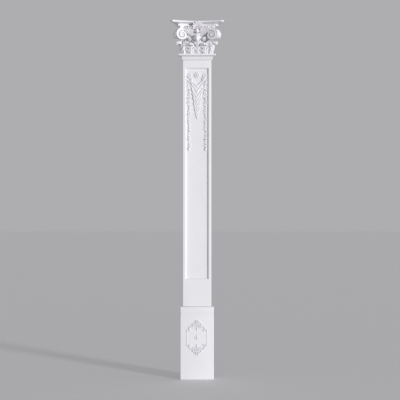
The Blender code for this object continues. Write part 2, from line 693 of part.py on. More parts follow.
def spray(side, material):
    """Fan of leaf lobes that spreads outwards under the abacus."""
    parts = []
    for lobe in range(SPRAY_LOBES):
        share = lobe / (SPRAY_LOBES - 1.0)
        lean = 0.30 + 0.60 * share
        along, normal = tilted(side * math.sin(lean), math.cos(lean), 0.40)
        root = at(side * SPRAY_SPACING * (1.0 + share), BELL_DEPTH + 0.006,
                  CAPITAL_FOOT + SPRAY_RISE)
        parts.append(petal(f"spray_{side:.0f}_{lobe}", root, along, normal, SPRAY_LOBE_LENGTH,
                           SPRAY_LOBE_WIDTH, 0.012, material))
    return parts


def middle_carving(material):
    """Lower leaves, centre leaf, tongue, sprays and the flower on the abacus."""
    parts = fleuron(material)
    foot_height = CAPITAL_FOOT + BELL_FOOT - 0.004
    for side in SIDES:
        foot = at(side * LOWER_LEAF_SPACING, BELL_DEPTH + 0.008, foot_height)
        parts.append(acanthus(f"lower_leaf_{side:.0f}", foot, FRONT, LOWER_LEAF_RISE,
                              LOWER_LEAF_WIDTH, LOWER_LEAF_CURL, material))
        parts += spray(side, material)
    foot = at(0.0, BELL_DEPTH + 0.003, foot_height)
    parts.append(acanthus("centre_leaf", foot, FRONT, CENTRE_LEAF_RISE, CENTRE_LEAF_WIDTH,
                          CENTRE_LEAF_CURL, material, 0.14, 0.018, 0.014))
    foot = at(0.0, BELL_DEPTH + 0.003, CAPITAL_FOOT + TONGUE_FOOT)
    parts.append(acanthus("tongue", foot, FRONT, TONGUE_RISE, TONGUE_WIDTH, TONGUE_CURL,
                          material, 0.20, inset=0.010))
    return parts


def build_capital(material):
    """Carved capital: core, middle carving and the two corners."""
    body = capital_core(material)
    parts = middle_carving(material)
    for side in SIDES:
        parts += corner_carving(side, material)
    unite(body, parts, "capital_carving")
    return body


def main():
    """Build the three pieces of the pilaster."""
    clear_scene()
    build_base(plaster_white("base_white", 0.84))
    build_shaft(plaster_white("shaft_white", 0.83))
    build_capital(plaster_white("capital_white", 0.85))


main()
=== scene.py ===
"""Finished surfaces of a moulded wall pilaster: base block, panelled shaft and carved capital.

Each class is one moulding or one carved form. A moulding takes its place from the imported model,
works its surfaces out with numpy and dresses them in painted white resin. The wall is y = 0, the
front faces -Y, z goes up from the floor and every length is in metres.
"""

import logging
import math
from dataclasses import dataclass
from enum import Enum

import bpy
import numpy as np
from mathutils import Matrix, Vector


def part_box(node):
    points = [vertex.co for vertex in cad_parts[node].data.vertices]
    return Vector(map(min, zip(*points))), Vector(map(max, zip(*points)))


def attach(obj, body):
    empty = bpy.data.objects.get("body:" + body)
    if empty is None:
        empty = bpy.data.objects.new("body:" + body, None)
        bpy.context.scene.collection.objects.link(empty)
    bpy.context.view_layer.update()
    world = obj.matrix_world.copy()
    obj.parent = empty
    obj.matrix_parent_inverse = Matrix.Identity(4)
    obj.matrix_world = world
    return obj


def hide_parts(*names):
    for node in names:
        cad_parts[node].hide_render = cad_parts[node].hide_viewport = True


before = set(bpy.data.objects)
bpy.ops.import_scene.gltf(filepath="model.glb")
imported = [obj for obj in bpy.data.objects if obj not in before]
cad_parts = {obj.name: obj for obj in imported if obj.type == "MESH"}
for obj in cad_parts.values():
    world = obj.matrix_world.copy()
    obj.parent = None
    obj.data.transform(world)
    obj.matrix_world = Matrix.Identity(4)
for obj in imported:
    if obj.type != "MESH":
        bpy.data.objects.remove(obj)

LOG = logging.getLogger("pilaster")

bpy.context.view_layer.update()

TURN = 2.0 * math.pi
RIGHT = np.array((1.0, 0.0, 0.0))
FRONT = np.array((0.0, -1.0, 0.0))
UP = np.array((0.0, 0.0, 1.0))


class Hand(Enum):
    """Left or right half of the pilaster, seen from the front."""

    LEFT = -1.0
    RIGHT = 1.0


def at(x: float | np.ndarray, depth: float | np.ndarray, z: float | np.ndarray) -> np.ndarray:
    """Point or points at x, standing depth out from the wall, at height z."""
    x, depth, z = np.broadcast_arrays(x, depth, z)
    return np.stack((x, -np.asarray(depth), z), axis=-1).astype(float)


def unit(vector: np.ndarray) -> np.ndarray:
    """Vector scaled to length one."""
    return vector / np.linalg.norm(vector)


def ease(value: np.ndarray) -> np.ndarray:
    """Cubic ease from 0 to 1, flat at both ends."""
    value = np.clip(value, 0.0, 1.0)
    return value * value * (3.0 - 2.0 * value)


def part(value: np.ndarray) -> np.ndarray:
    """What is left of a value above its whole number."""
    return value - np.floor(value)


def saw(value: np.ndarray) -> np.ndarray:
    """Distance from the middle of each whole step: 0 in the middle, 1 at both ends."""
    return np.abs(2.0 * part(value) - 1.0)


def bell_curve(value: np.ndarray, width: float) -> np.ndarray:
    """Bump of height one at zero: exp of minus the square of value over width."""
    return np.exp(-(value / width) ** 2)


def smooth_path(points: list[tuple[float, float]], count: int) -> np.ndarray:
    """Curve through points of a plane, as a cubic in the share of the way between each two.

    The slope at a point is half the step from the point before to the point after, and each
    stretch is the Hermite cubic of its two ends and slopes.

    Args:
        points: Points that the curve passes.
        count: Points on the curve.

    Returns:
        Array of count rows.
    """
    knots = np.array(points, dtype=float)
    slopes = np.gradient(knots, axis=0)
    place = np.linspace(0.0, len(knots) - 1.0, count)
    low = np.minimum(place.astype(int), len(knots) - 2)
    s = (place - low)[:, None]
    start, end = knots[low], knots[low + 1]
    out, into = slopes[low], slopes[low + 1]
    return ((2 * s ** 3 - 3 * s ** 2 + 1) * start + (s ** 3 - 2 * s ** 2 + s) * out
            + (3 * s ** 2 - 2 * s ** 3) * end + (s ** 3 - s ** 2) * into)


class Carving:
    """Closed surfaces that are gathered up and turned into one mesh."""

    def __init__(self) -> None:
        """Start with no surface."""
        self.points: list[np.ndarray] = []
        self.quads: list[np.ndarray] = []
        self.triangles: list[np.ndarray] = []
        self.count = 0

    def add(self, points: np.ndarray, quads: np.ndarray, triangles: np.ndarray) -> None:
        """Add one closed surface, turned so that its faces point outwards.

        The signed volume is the sum over triangles of corner a dot (b cross c) / 6, so a negative
        sum means that the surface is inside out, and its faces are reversed.

        Args:
            points: Corners, one row each.
            quads: Four corner numbers a row.
            triangles: Three corner numbers a row.
        """
        middle = points.mean(axis=0)
        split = np.concatenate((quads[:, (0, 1, 2)], quads[:, (0, 2, 3)], triangles))
        a, b, c = (points[split[:, corner]] - middle for corner in range(3))
        if np.einsum("ij,ij->", a, np.cross(b, c)) < 0.0:
            quads = quads[:, ::-1]
            triangles = triangles[:, ::-1]
        self.points.append(points)
        self.quads.append(quads + self.count)
        self.triangles.append(triangles + self.count)
        self.count += len(points)

    @staticmethod
    def middle_of(ring: np.ndarray) -> np.ndarray:
        """Centre of area of a flat ring: its fan triangles' middles, weighed by signed area.

        Args:
            ring: Points round the ring.

        Returns:
            One point, the hub itself where the ring has no area.
        """
        hub = ring.mean(axis=0)
        after = np.roll(ring, -1, axis=0)
        area = np.cross(ring - hub, after - hub)
        total = area.sum(axis=0)
        size = np.linalg.norm(total)
        if size < 1e-12:
            return hub
        weight = area @ (total / size)
        return ((hub + ring + after) / 3.0 * weight[:, None]).sum(axis=0) / weight.sum()

    def rings(self, rings: np.ndarray) -> None:
        """Add a closed body through rings of points, each end closed by a fan to its middle.

        Args:
            rings: Array of rings, points in a ring, and 3.
        """
        count, size = rings.shape[:2]
        low = (np.arange(count - 1)[:, None] * size + np.arange(size)[None, :]).ravel()
        after = (np.arange(count - 1)[:, None] * size
                 + (np.arange(size)[None, :] + 1) % size).ravel()
        quads = np.stack((low, after, after + size, low + size), axis=1)
        points = np.concatenate((rings.reshape(-1, 3), self.middle_of(rings[0])[None],
                                 self.middle_of(rings[-1])[None]))
        first = np.arange(size)
        follow = (first + 1) % size
        foot = np.full(size, count * size)
        last = (count - 1) * size
        triangles = np.concatenate((np.stack((follow, first, foot), axis=1),
                                    np.stack((first + last, follow + last, foot + 1), axis=1)))
        self.add(points, quads, triangles)

    def sheet(self, front: np.ndarray, back: np.ndarray) -> None:
        """Add a closed body between a front and a back grid of the same size.

        Args:
            front: Array of rows, columns and 3.
            back: Array of the same shape, behind the front.
        """
        rows, columns = front.shape[:2]
        behind = rows * columns
        a = (np.arange(rows - 1)[:, None] * columns + np.arange(columns - 1)[None, :]).ravel()
        face = np.stack((a, a + 1, a + columns + 1, a + columns), axis=1)
        number = np.arange(behind).reshape(rows, columns)
        border = np.concatenate((number[0, :-1], number[:-1, -1], number[-1, :0:-1],
                                 number[:0:-1, 0]))
        after = np.roll(border, -1)
        rim = np.stack((border, border + behind, after + behind, after), axis=1)
        quads = np.concatenate((face, face[:, ::-1] + behind, rim))
        points = np.concatenate((front.reshape(-1, 3), back.reshape(-1, 3)))
        self.add(points, quads, np.empty((0, 3), dtype=int))

    def finish(self, name: str, node: str, material: bpy.types.Material) -> bpy.types.Object:
        """Make the mesh object, ride it on the frame and let it stand for its solid.

        The backs of carvings are cut off flat at the wall, y = 0.

        Args:
            name: Name of the piece.
            node: Solid that it replaces.
            material: Finish of the piece.

        Returns:
            The finished object.
        """
        mesh = bpy.data.meshes.new(name)
        faces = np.concatenate(self.quads).tolist() + np.concatenate(self.triangles).tolist()
        points = np.concatenate(self.points)
        points[:, 1] = np.minimum(points[:, 1], 0.0)
        mesh.from_pydata(points, [], faces)
        mesh.shade_smooth()
        mesh.set_sharp_from_angle(angle=math.radians(38.0))
        mesh.materials.append(material)
        piece = bpy.data.objects.new(name, mesh)
        bpy.context.scene.collection.objects.link(piece)
        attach(piece, "root")
        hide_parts(node)
        LOG.info("%s: %d triangles", name, sum(len(face) - 2 for face in faces))
        return piece


@dataclass(frozen=True)
class PaintedResin:
    """White paint on moulded resin: a soft mottle, a fine grain and a satin sheen."""

    name: str
    light: tuple[float, float, float]
    dark: tuple[float, float, float]
    roughness: float = 0.44
    mottle_scale: float = 7.0
    grain_scale: float = 420.0
    grain_height: float = 0.00012

    def build(self) -> bpy.types.Material:
        """Node material: noise mixes the two whites and the roughness, finer noise is bump.

        Returns:
            The material.
        """
        material = bpy.data.materials.new(self.name)
        material.use_nodes = True
        nodes = material.node_tree.nodes
        links = material.node_tree.links
        shader = nodes["Principled BSDF"]
        shader.inputs["Specular IOR Level"].default_value = 0.42
        place = nodes.new("ShaderNodeTexCoord")
        mottle = self._noise(nodes, links, place, self.mottle_scale, 4.0)
        tone = nodes.new("ShaderNodeMix")
        tone.data_type = "RGBA"
        tone.inputs[6].default_value = (*self.dark, 1.0)
        tone.inputs[7].default_value = (*self.light, 1.0)
        links.new(mottle.outputs["Fac"], tone.inputs["Factor"])
        links.new(tone.outputs[2], shader.inputs["Base Color"])
        speckle = self._noise(nodes, links, place, self.mottle_scale * 9.0, 3.0)
        sheen = nodes.new("ShaderNodeMapRange")
        sheen.inputs["To Min"].default_value = self.roughness - 0.08
        sheen.inputs["To Max"].default_value = self.roughness + 0.10
        links.new(speckle.outputs["Fac"], sheen.inputs["Value"])
        links.new(sheen.outputs["Result"], shader.inputs["Roughness"])
        grain = self._noise(nodes, links, place, self.grain_scale, 2.0)
        bump = nodes.new("ShaderNodeBump")
        bump.inputs["Strength"].default_value = 0.5
        bump.inputs["Distance"].default_value = self.grain_height
        links.new(grain.outputs["Fac"], bump.inputs["Height"])
        links.new(bump.outputs["Normal"], shader.inputs["Normal"])
        return material

    @staticmethod
    def _noise(nodes: bpy.types.Nodes, links: bpy.types.NodeLinks, place: bpy.types.Node,
               scale: float, detail: float) -> bpy.types.Node:
        """Noise on object coordinates, in cycles a metre.

        Args:
            nodes: Nodes of the material.
            links: Links of the material.
            place: Texture Coordinate node.
            scale: Noise cells a metre.
            detail: Octaves of the noise.

        Returns:
            The noise node.
        """
        noise = nodes.new("ShaderNodeTexNoise")
        noise.inputs["Scale"].default_value = scale
        noise.inputs["Detail"].default_value = detail
        links.new(place.outputs["Object"], noise.inputs["Vector"])
        return noise


@dataclass
class Petal:
    """Small pointed leaf with a raised midrib and side veins, its edges sunk in what carries it."""

    root: np.ndarray
    along: np.ndarray
    normal: np.ndarray
    length: float
    width: float
    relief: float
    curve: float = 0.0
    veins: float = 4.0
    sink: float = 0.004
    rows: int = 9
    columns: int = 7

    def carve(self, carving: Carving) -> None:
        """Add the leaf to a carving.

        At share s of the length, the half-width is a sine that closes at both ends. The height
        falls from the midrib as 1 - 0.55 |v|^2.2 and drops steeply at the rim, and V-shaped veins
        cross it in steps of s - |v| / 3.

        Args:
            carving: Carving that the leaf joins.
        """
        along = unit(self.along)
        normal = unit(self.normal - np.dot(self.normal, along) * along)
        side = np.cross(normal, along)
        share = np.linspace(0.0, 1.0, self.rows)[:, None]
        even = np.linspace(-1.0, 1.0, self.columns)[None, :]
        across = np.sign(even) * np.abs(even) ** 0.4
        reach = np.abs(across)
        half = 0.5 * self.width * (0.04 + 0.96 * np.sin(math.pi * (0.06 + 0.92 * share ** 0.9)))
        swell = 0.30 + 0.70 * np.sin(math.pi * (0.12 + 0.80 * share))
        height = self.relief * swell * (1.0 - 0.55 * reach ** 2.2)
        if self.veins > 0.0:
            height = height * (1.0 - 0.18 * saw(self.veins * (share - reach / 3.0)) * reach)
        height = height + 0.10 * self.relief * (reach == 0.0) * swell
        bend = self.curve * share ** 2
        ahead = self.length * (share - 0.0 * across)
        flat = (self.root + along * ahead[..., None]
                + side * (half * across + bend)[..., None])
        sunk = np.where(reach >= 1.0, -0.3 * self.sink, height)
        carving.sheet(flat + normal * sunk[..., None], flat - normal * self.sink)


@dataclass
class Lobe:
    """Thick fluted leaf lobe with a round tip that curls forwards, as in a fan."""

    root: np.ndarray
    tip: np.ndarray
    normal: np.ndarray
    width: float
    relief: float
    bend: float = 0.0
    curl: float = 0.0
    sink: float = 0.016
    foot_share: float = 0.45
    rows: int = 22
    columns: int = 13

    def carve(self, carving: Carving) -> None:
        """Add the lobe.

        The half-width grows from a narrow foot and closes in an ellipse over the last quarter.
        The height is a round back sqrt(1 - v^2) with a hollow bell curve along its middle.

        Args:
            carving: Carving that the lobe joins.
        """
        run = self.tip - self.root
        along = unit(run)
        normal = unit(self.normal - np.dot(self.normal, along) * along)
        side = np.cross(normal, along)
        share = np.linspace(0.0, 1.0, self.rows)[:, None] ** 0.9
        across = np.linspace(-1.0, 1.0, self.columns)[None, :]
        close = np.sqrt(np.clip(1.0 - np.clip((share - 0.74) / 0.262, 0.0, 1.0) ** 2, 0.0, 1.0))
        half = 0.5 * self.width * (self.foot_share + (1.0 - self.foot_share) * ease(share / 0.7))
        half = half * close
        arch = np.sqrt(np.clip(1.0 - across ** 2, 0.0, 1.0))
        hollow = 0.55 * bell_curve(across, 0.34) * ease(share / 0.2) * close
        height = self.relief * (arch - hollow) * (0.45 + 0.55 * ease(share / 0.5))
        height = height * (0.25 + 0.75 * close) + self.curl * share ** 3
        sway = self.bend * np.sin(math.pi * share)
        flat = (self.root + run * (share - 0.0 * across)[..., None]
                + side * (half * across + sway)[..., None])
        carving.sheet(flat + normal * height[..., None], flat - normal * self.sink)


@dataclass
class Boss:
    """Round boss: a turned profile on a circle, such as a bead, a bud or an eye."""

    centre: np.ndarray
    normal: np.ndarray
    radius: float
    relief: float
    sides: int = 14
    levels: int = 5
    sink: float = 0.003

    def carve(self, carving: Carving) -> None:
        """Add the boss: radius r cos(a) at height h sin(a) over a sunk foot.

        Args:
            carving: Carving that the boss joins.
        """
        normal = unit(self.normal)
        first = unit(np.cross(normal, UP if abs(normal[2]) < 0.9 else RIGHT))
        second = np.cross(normal, first)
        angle = np.arange(self.sides) * TURN / self.sides
        circle = np.cos(angle)[:, None] * first + np.sin(angle)[:, None] * second
        sweep = np.linspace(0.0, 0.5 * math.pi * 0.94, self.levels)
        radius = np.concatenate(([1.0], np.cos(sweep))) * self.radius
        lift = np.concatenate(([-self.sink], np.sin(sweep) * self.relief))
        rings = (self.centre + circle[None] * radius[:, None, None]
                 + normal * lift[:, None, None])
        carving.rings(rings)


@dataclass
class Strand:
    """Rounded ribbon or stem carried along a path that lies on a flat face."""

    path: np.ndarray
    width: np.ndarray
    relief: np.ndarray
    sink: float = 0.003
    flute: float = 0.0
    sides: int = 12

    def carve(self, carving: Carving) -> None:
        """Add the strand: half an ellipse over a sunk foot, square to the path.

        At angle a the section lies w cos(a) beside the path and h sin(a) in front of the face,
        less a flute of bell-curve section along its middle.

        Args:
            carving: Carving that the strand joins.
        """
        along = np.gradient(self.path, axis=0)
        along = along / np.linalg.norm(along, axis=1)[:, None]
        side = np.cross(FRONT, along)
        angle = np.linspace(0.0, math.pi, self.sides)
        beside = np.concatenate((np.cos(angle), (-0.96, 0.96)))[None, :]
        lift = np.sin(angle) - self.flute * bell_curve(np.cos(angle), 0.38)
        height = np.asarray(self.relief).reshape(-1, 1) * lift[None, :]
        height = np.broadcast_to(height, (len(self.path), self.sides))
        height = np.concatenate((height, np.full((len(self.path), 2), -self.sink)), axis=1)
        half = 0.5 * np.asarray(self.width).reshape(-1, 1) * beside
        rings = (self.path[:, None, :] + side[:, None, :] * half[..., None]
                 + FRONT * height[..., None])
        carving.rings(rings)


@dataclass
class Rosette:
    """Open flower: a scalloped dish of petals round an eye."""

    centre: np.ndarray
    radius: float
    relief: float
    petals: int
    turned: float = 0.0
    notch: float = 0.26
    crease: float = 0.20
    sides_each: int = 10
    sink: float = 0.003

    def carve(self, carving: Carving) -> None:
        """Add the flower.

        The rim is radius (1 - d (1 - |sin(n a / 2)|^0.6)). Each petal swells in its middle, has a
        hollow along it and dips to a ring round the eye.

        Args:
            carving: Carving that the flower joins.
        """
        sides = self.petals * self.sides_each
        angle = np.arange(sides) * TURN / sides
        place = angle + self.turned
        circle = np.cos(place)[:, None] * RIGHT + np.sin(place)[:, None] * UP
        lobe = np.abs(np.sin(0.5 * self.petals * angle))
        rim = 1.0 - self.notch * (1.0 - lobe ** 0.6)
        shares = np.array((1.0, 1.0, 0.94, 0.82, 0.68, 0.54, 0.42, 0.36, 0.33, 0.31, 0.25, 0.14))
        crest = np.array((0.0, 0.20, 0.66, 0.90, 0.95, 0.80, 0.46, 0.12, 0.12, 0.78, 1.05, 1.20))
        petal = np.array((0.0, 0.10, 0.5, 0.75, 0.8, 0.7, 0.4, 0.0, 0.0, 0.0, 0.0, 0.0))
        lift = crest[:, None] - petal[:, None] * (1.0 - lobe[None, :]) ** 0.8
        fold = np.clip((lobe[None, :] - 0.93) / 0.07, 0.0, 1.0)
        lift = lift - self.crease * petal[:, None] * fold
        lift = lift * self.relief
        lift[0] = -self.sink
        follow = np.clip((shares - 0.36) / 0.4, 0.0, 1.0)[:, None]
        radius = self.radius * shares[:, None] * (1.0 + follow * (rim[None, :] - 1.0))
        rings = self.centre + circle[None] * radius[..., None] + FRONT * lift[..., None]
        carving.rings(rings)


def block_plan(half_width: float, depth: float, rounding: float, steps: int) -> np.ndarray:
    """Plan of a block with rounded front corners, from the back right round to the back left.

    Args:
        half_width: Half the width across.
        depth: How far the block stands out from the wall.
        rounding: Radius of its front corners.
        steps: Points in each rounded corner.

    Returns:
        Array of points, each x and depth.
    """
    sweep = np.linspace(0.0, 0.5 * math.pi, steps)
    x = half_width - rounding + rounding * np.cos(sweep)
    out = depth - rounding + rounding * np.sin(sweep)
    right = np.stack((x, out), axis=1)
    left = np.stack((-x[::-1], out[::-1]), axis=1)
    ends = np.array(((half_width, 0.0), (-half_width, 0.0)))
    return np.concatenate((ends[:1], right, left, ends[1:]))


@dataclass
class BaseBlock:
    """Plain block with rounded edges, two fine grooves and a carved lozenge."""

    rounding: float = 0.005
    groove_width: float = 0.009
    groove_depth: float = 0.003
    groove_drop: float = 0.052
    groove_pitch: float = 0.022
    lozenge_drop: float = 0.258
    lozenge_half_width: float = 0.084
    lozenge_side: float = 0.123
    lozenge_point: float = 0.089
    bead_radius: float = 0.0052
    bead_pitch: float = 0.0125
    stud_radius: float = 0.0070
    scrolls_each: int = 3
    scroll_inset: float = 0.008
    scroll_swing: float = 0.005
    leaf_length: float = 0.026
    leaf_width: float = 0.012
    relief: float = 0.0070
    drop_length: float = 0.024
    flower_radius: float = 0.0195

    def __post_init__(self) -> None:
        """Take the block's place and size from its solid."""
        low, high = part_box("base")
        self.foot = low[2]
        self.height = high[2] - low[2]
        self.half_width = high[0]
        self.depth = 0.063
        self.middle = high[2] - self.lozenge_drop

    def block(self, carving: Carving) -> None:
        """Add the block: one rounded plan carried up a profile of insets with two hollows.

        Args:
            carving: Carving that the block joins.
        """
        sweep = np.linspace(0.0, 0.5 * math.pi, 6)
        rise = [0.0, 0.0025]
        inset = [0.0025, 0.0]
        for number in (1, 0):
            middle = self.height - self.groove_drop - number * self.groove_pitch
            hollow = np.linspace(0.0, math.pi, 9)
            rise += list(middle - 0.5 * self.groove_width * np.cos(hollow))
            inset += list(self.groove_depth * np.sin(hollow) ** 0.7)
        rise += list(self.height - self.rounding + self.rounding * np.sin(sweep))
        inset += list(self.rounding * (1.0 - np.cos(sweep)))
        plans = []
        for z, step in zip(rise, inset):
            plan = block_plan(self.half_width - step, self.depth - step, self.rounding, 6)
            plans.append(at(plan[:, 0], plan[:, 1], self.foot + z))
        carving.rings(np.array(plans))

    def corner(self, hand: Hand, end: float) -> np.ndarray:
        """Corner of the lozenge on one hand, end -1 below and 1 above."""
        return at(hand.value * self.lozenge_half_width, self.depth,
                  self.middle + end * 0.5 * self.lozenge_side)

    def beaded_side(self, carving: Carving, hand: Hand) -> None:
        """Add a string of beads between two studs.

        Args:
            carving: Carving that the beads join.
            hand: Side of the lozenge.
        """
        low = self.corner(hand, -1.0)
        high = self.corner(hand, 1.0)
        count = int(self.lozenge_side / self.bead_pitch)
        for index in range(1, count):
            centre = low + (high - low) * index / count
            Boss(centre, FRONT, self.bead_radius, self.bead_radius, 12, 4).carve(carving)
        for centre in (low, high):
            Boss(centre, FRONT, self.stud_radius, self.stud_radius, 16, 5).carve(carving)

    def scroll(self, carving: Carving, hand: Hand, end: float) -> None:
        """Add one running leaf scroll from a corner of the lozenge to its point.

        The stem waves about the straight line by a sine that swings scrolls_each times. At each
        swing a leaf grows along the stem, a smaller one across it, and a bud fills the hollow.

        Args:
            carving: Carving that the scroll joins.
            hand: Side of the lozenge.
            end: -1 for the lower point and 1 for the upper.
        """
        tip = at(0.0, self.depth, self.middle + end * (0.5 * self.lozenge_side
                                                       + self.lozenge_point))
        corner = self.corner(hand, end)
        run = tip - corner
        forward = unit(run)
        inward = -hand.value * RIGHT - end * UP
        inward = unit(inward - np.dot(inward, forward) * forward)
        share = np.linspace(0.02, 0.96, 60)[:, None]
        swing = self.scroll_swing * np.sin(TURN * self.scrolls_each * share)
        path = corner + run * share + inward * (self.scroll_inset + swing)
        thick = 0.0056 * (1.0 - 0.35 * share[:, 0])
        Strand(path, thick, 0.85 * self.relief * np.ones(60), sides=8).carve(carving)
        edge = corner + run * share[::6]
        Strand(edge, 0.0042 * np.ones(10), 0.75 * self.relief * np.ones(10), sides=8).carve(carving)
        for index in range(self.scrolls_each):
            for half, turn in ((0.25, 1.0), (0.75, -1.0)):
                place = (index + half) / self.scrolls_each
                size = 1.0 - 0.18 * place
                root = corner + run * (0.94 * place) + inward * (self.scroll_inset
                                                              + self.scroll_swing * turn)
                reach = 1.0 if turn > 0.0 else 0.62
                Petal(root, forward + 0.75 * turn * inward, FRONT,
                      self.leaf_length * size * reach, self.leaf_width * size, self.relief,
                      curve=-0.004 * turn, rows=10, columns=9).carve(carving)
                Petal(root, 0.15 * forward + turn * inward, FRONT,
                      0.62 * self.leaf_length * size * reach, 0.8 * self.leaf_width * size,
                      0.8 * self.relief, rows=8).carve(carving)
                Boss(root - 0.007 * turn * inward - 0.004 * forward, FRONT, 0.0036,
                     0.7 * self.relief, 10, 4).carve(carving)

    def palmette(self, carving: Carving, end: float) -> None:
        """Add the fan of leaves in one point of the lozenge, with a drop that hangs from it.

        Args:
            carving: Carving that the fan joins.
            end: -1 for the lower point and 1 for the upper.
        """
        heart = at(0.0, self.depth, self.middle + end * (0.5 * self.lozenge_side
                                                         + 0.26 * self.lozenge_point))
        for step in range(-3, 4):
            fan = math.sin(step * 0.44) * RIGHT + end * math.cos(step * 0.44) * UP
            length = self.lozenge_point * (0.60 - 0.075 * abs(step))
            Lobe(heart + 0.006 * fan, heart + length * fan, FRONT, 0.0092, self.relief,
                 sink=0.003, rows=12, columns=9).carve(carving)
        for hand in Hand:
            curl = [(0.004, -0.002), (0.012, -0.007), (0.021, -0.004), (0.023, 0.004),
                    (0.017, 0.007), (0.014, 0.003)]
            plane = smooth_path([(hand.value * x, end * z) for x, z in curl], 26)
            path = heart + RIGHT * plane[:, :1] + UP * plane[:, 1:]
            Strand(path, np.linspace(0.006, 0.004, 26), 0.8 * self.relief * np.ones(26),
                   sides=8).carve(carving)
        Boss(heart, FRONT, 0.0062, self.relief, 14, 5).carve(carving)
        Petal(heart - end * 0.006 * UP, -end * UP, FRONT, self.drop_length,
              0.8 * self.leaf_width, self.relief, veins=0.0, rows=12, columns=9).carve(carving)

    def build(self, material: bpy.types.Material) -> list[bpy.types.Object]:
        """Make the block with its carving.

        Args:
            material: Finish.

        Returns:
            The finished piece, in a list.
        """
        carving = Carving()
        self.block(carving)
        for hand in Hand:
            self.beaded_side(carving, hand)
            for end in (-1.0, 1.0):
                self.scroll(carving, hand, end)
        for end in (-1.0, 1.0):
            self.palmette(carving, end)
        Rosette(at(0.0, self.depth, self.middle), self.flower_radius, self.relief, 4,
                turned=0.25 * math.pi, notch=0.55, crease=0.0).carve(carving)
        return [carving.finish("base_moulding", "base", material)]


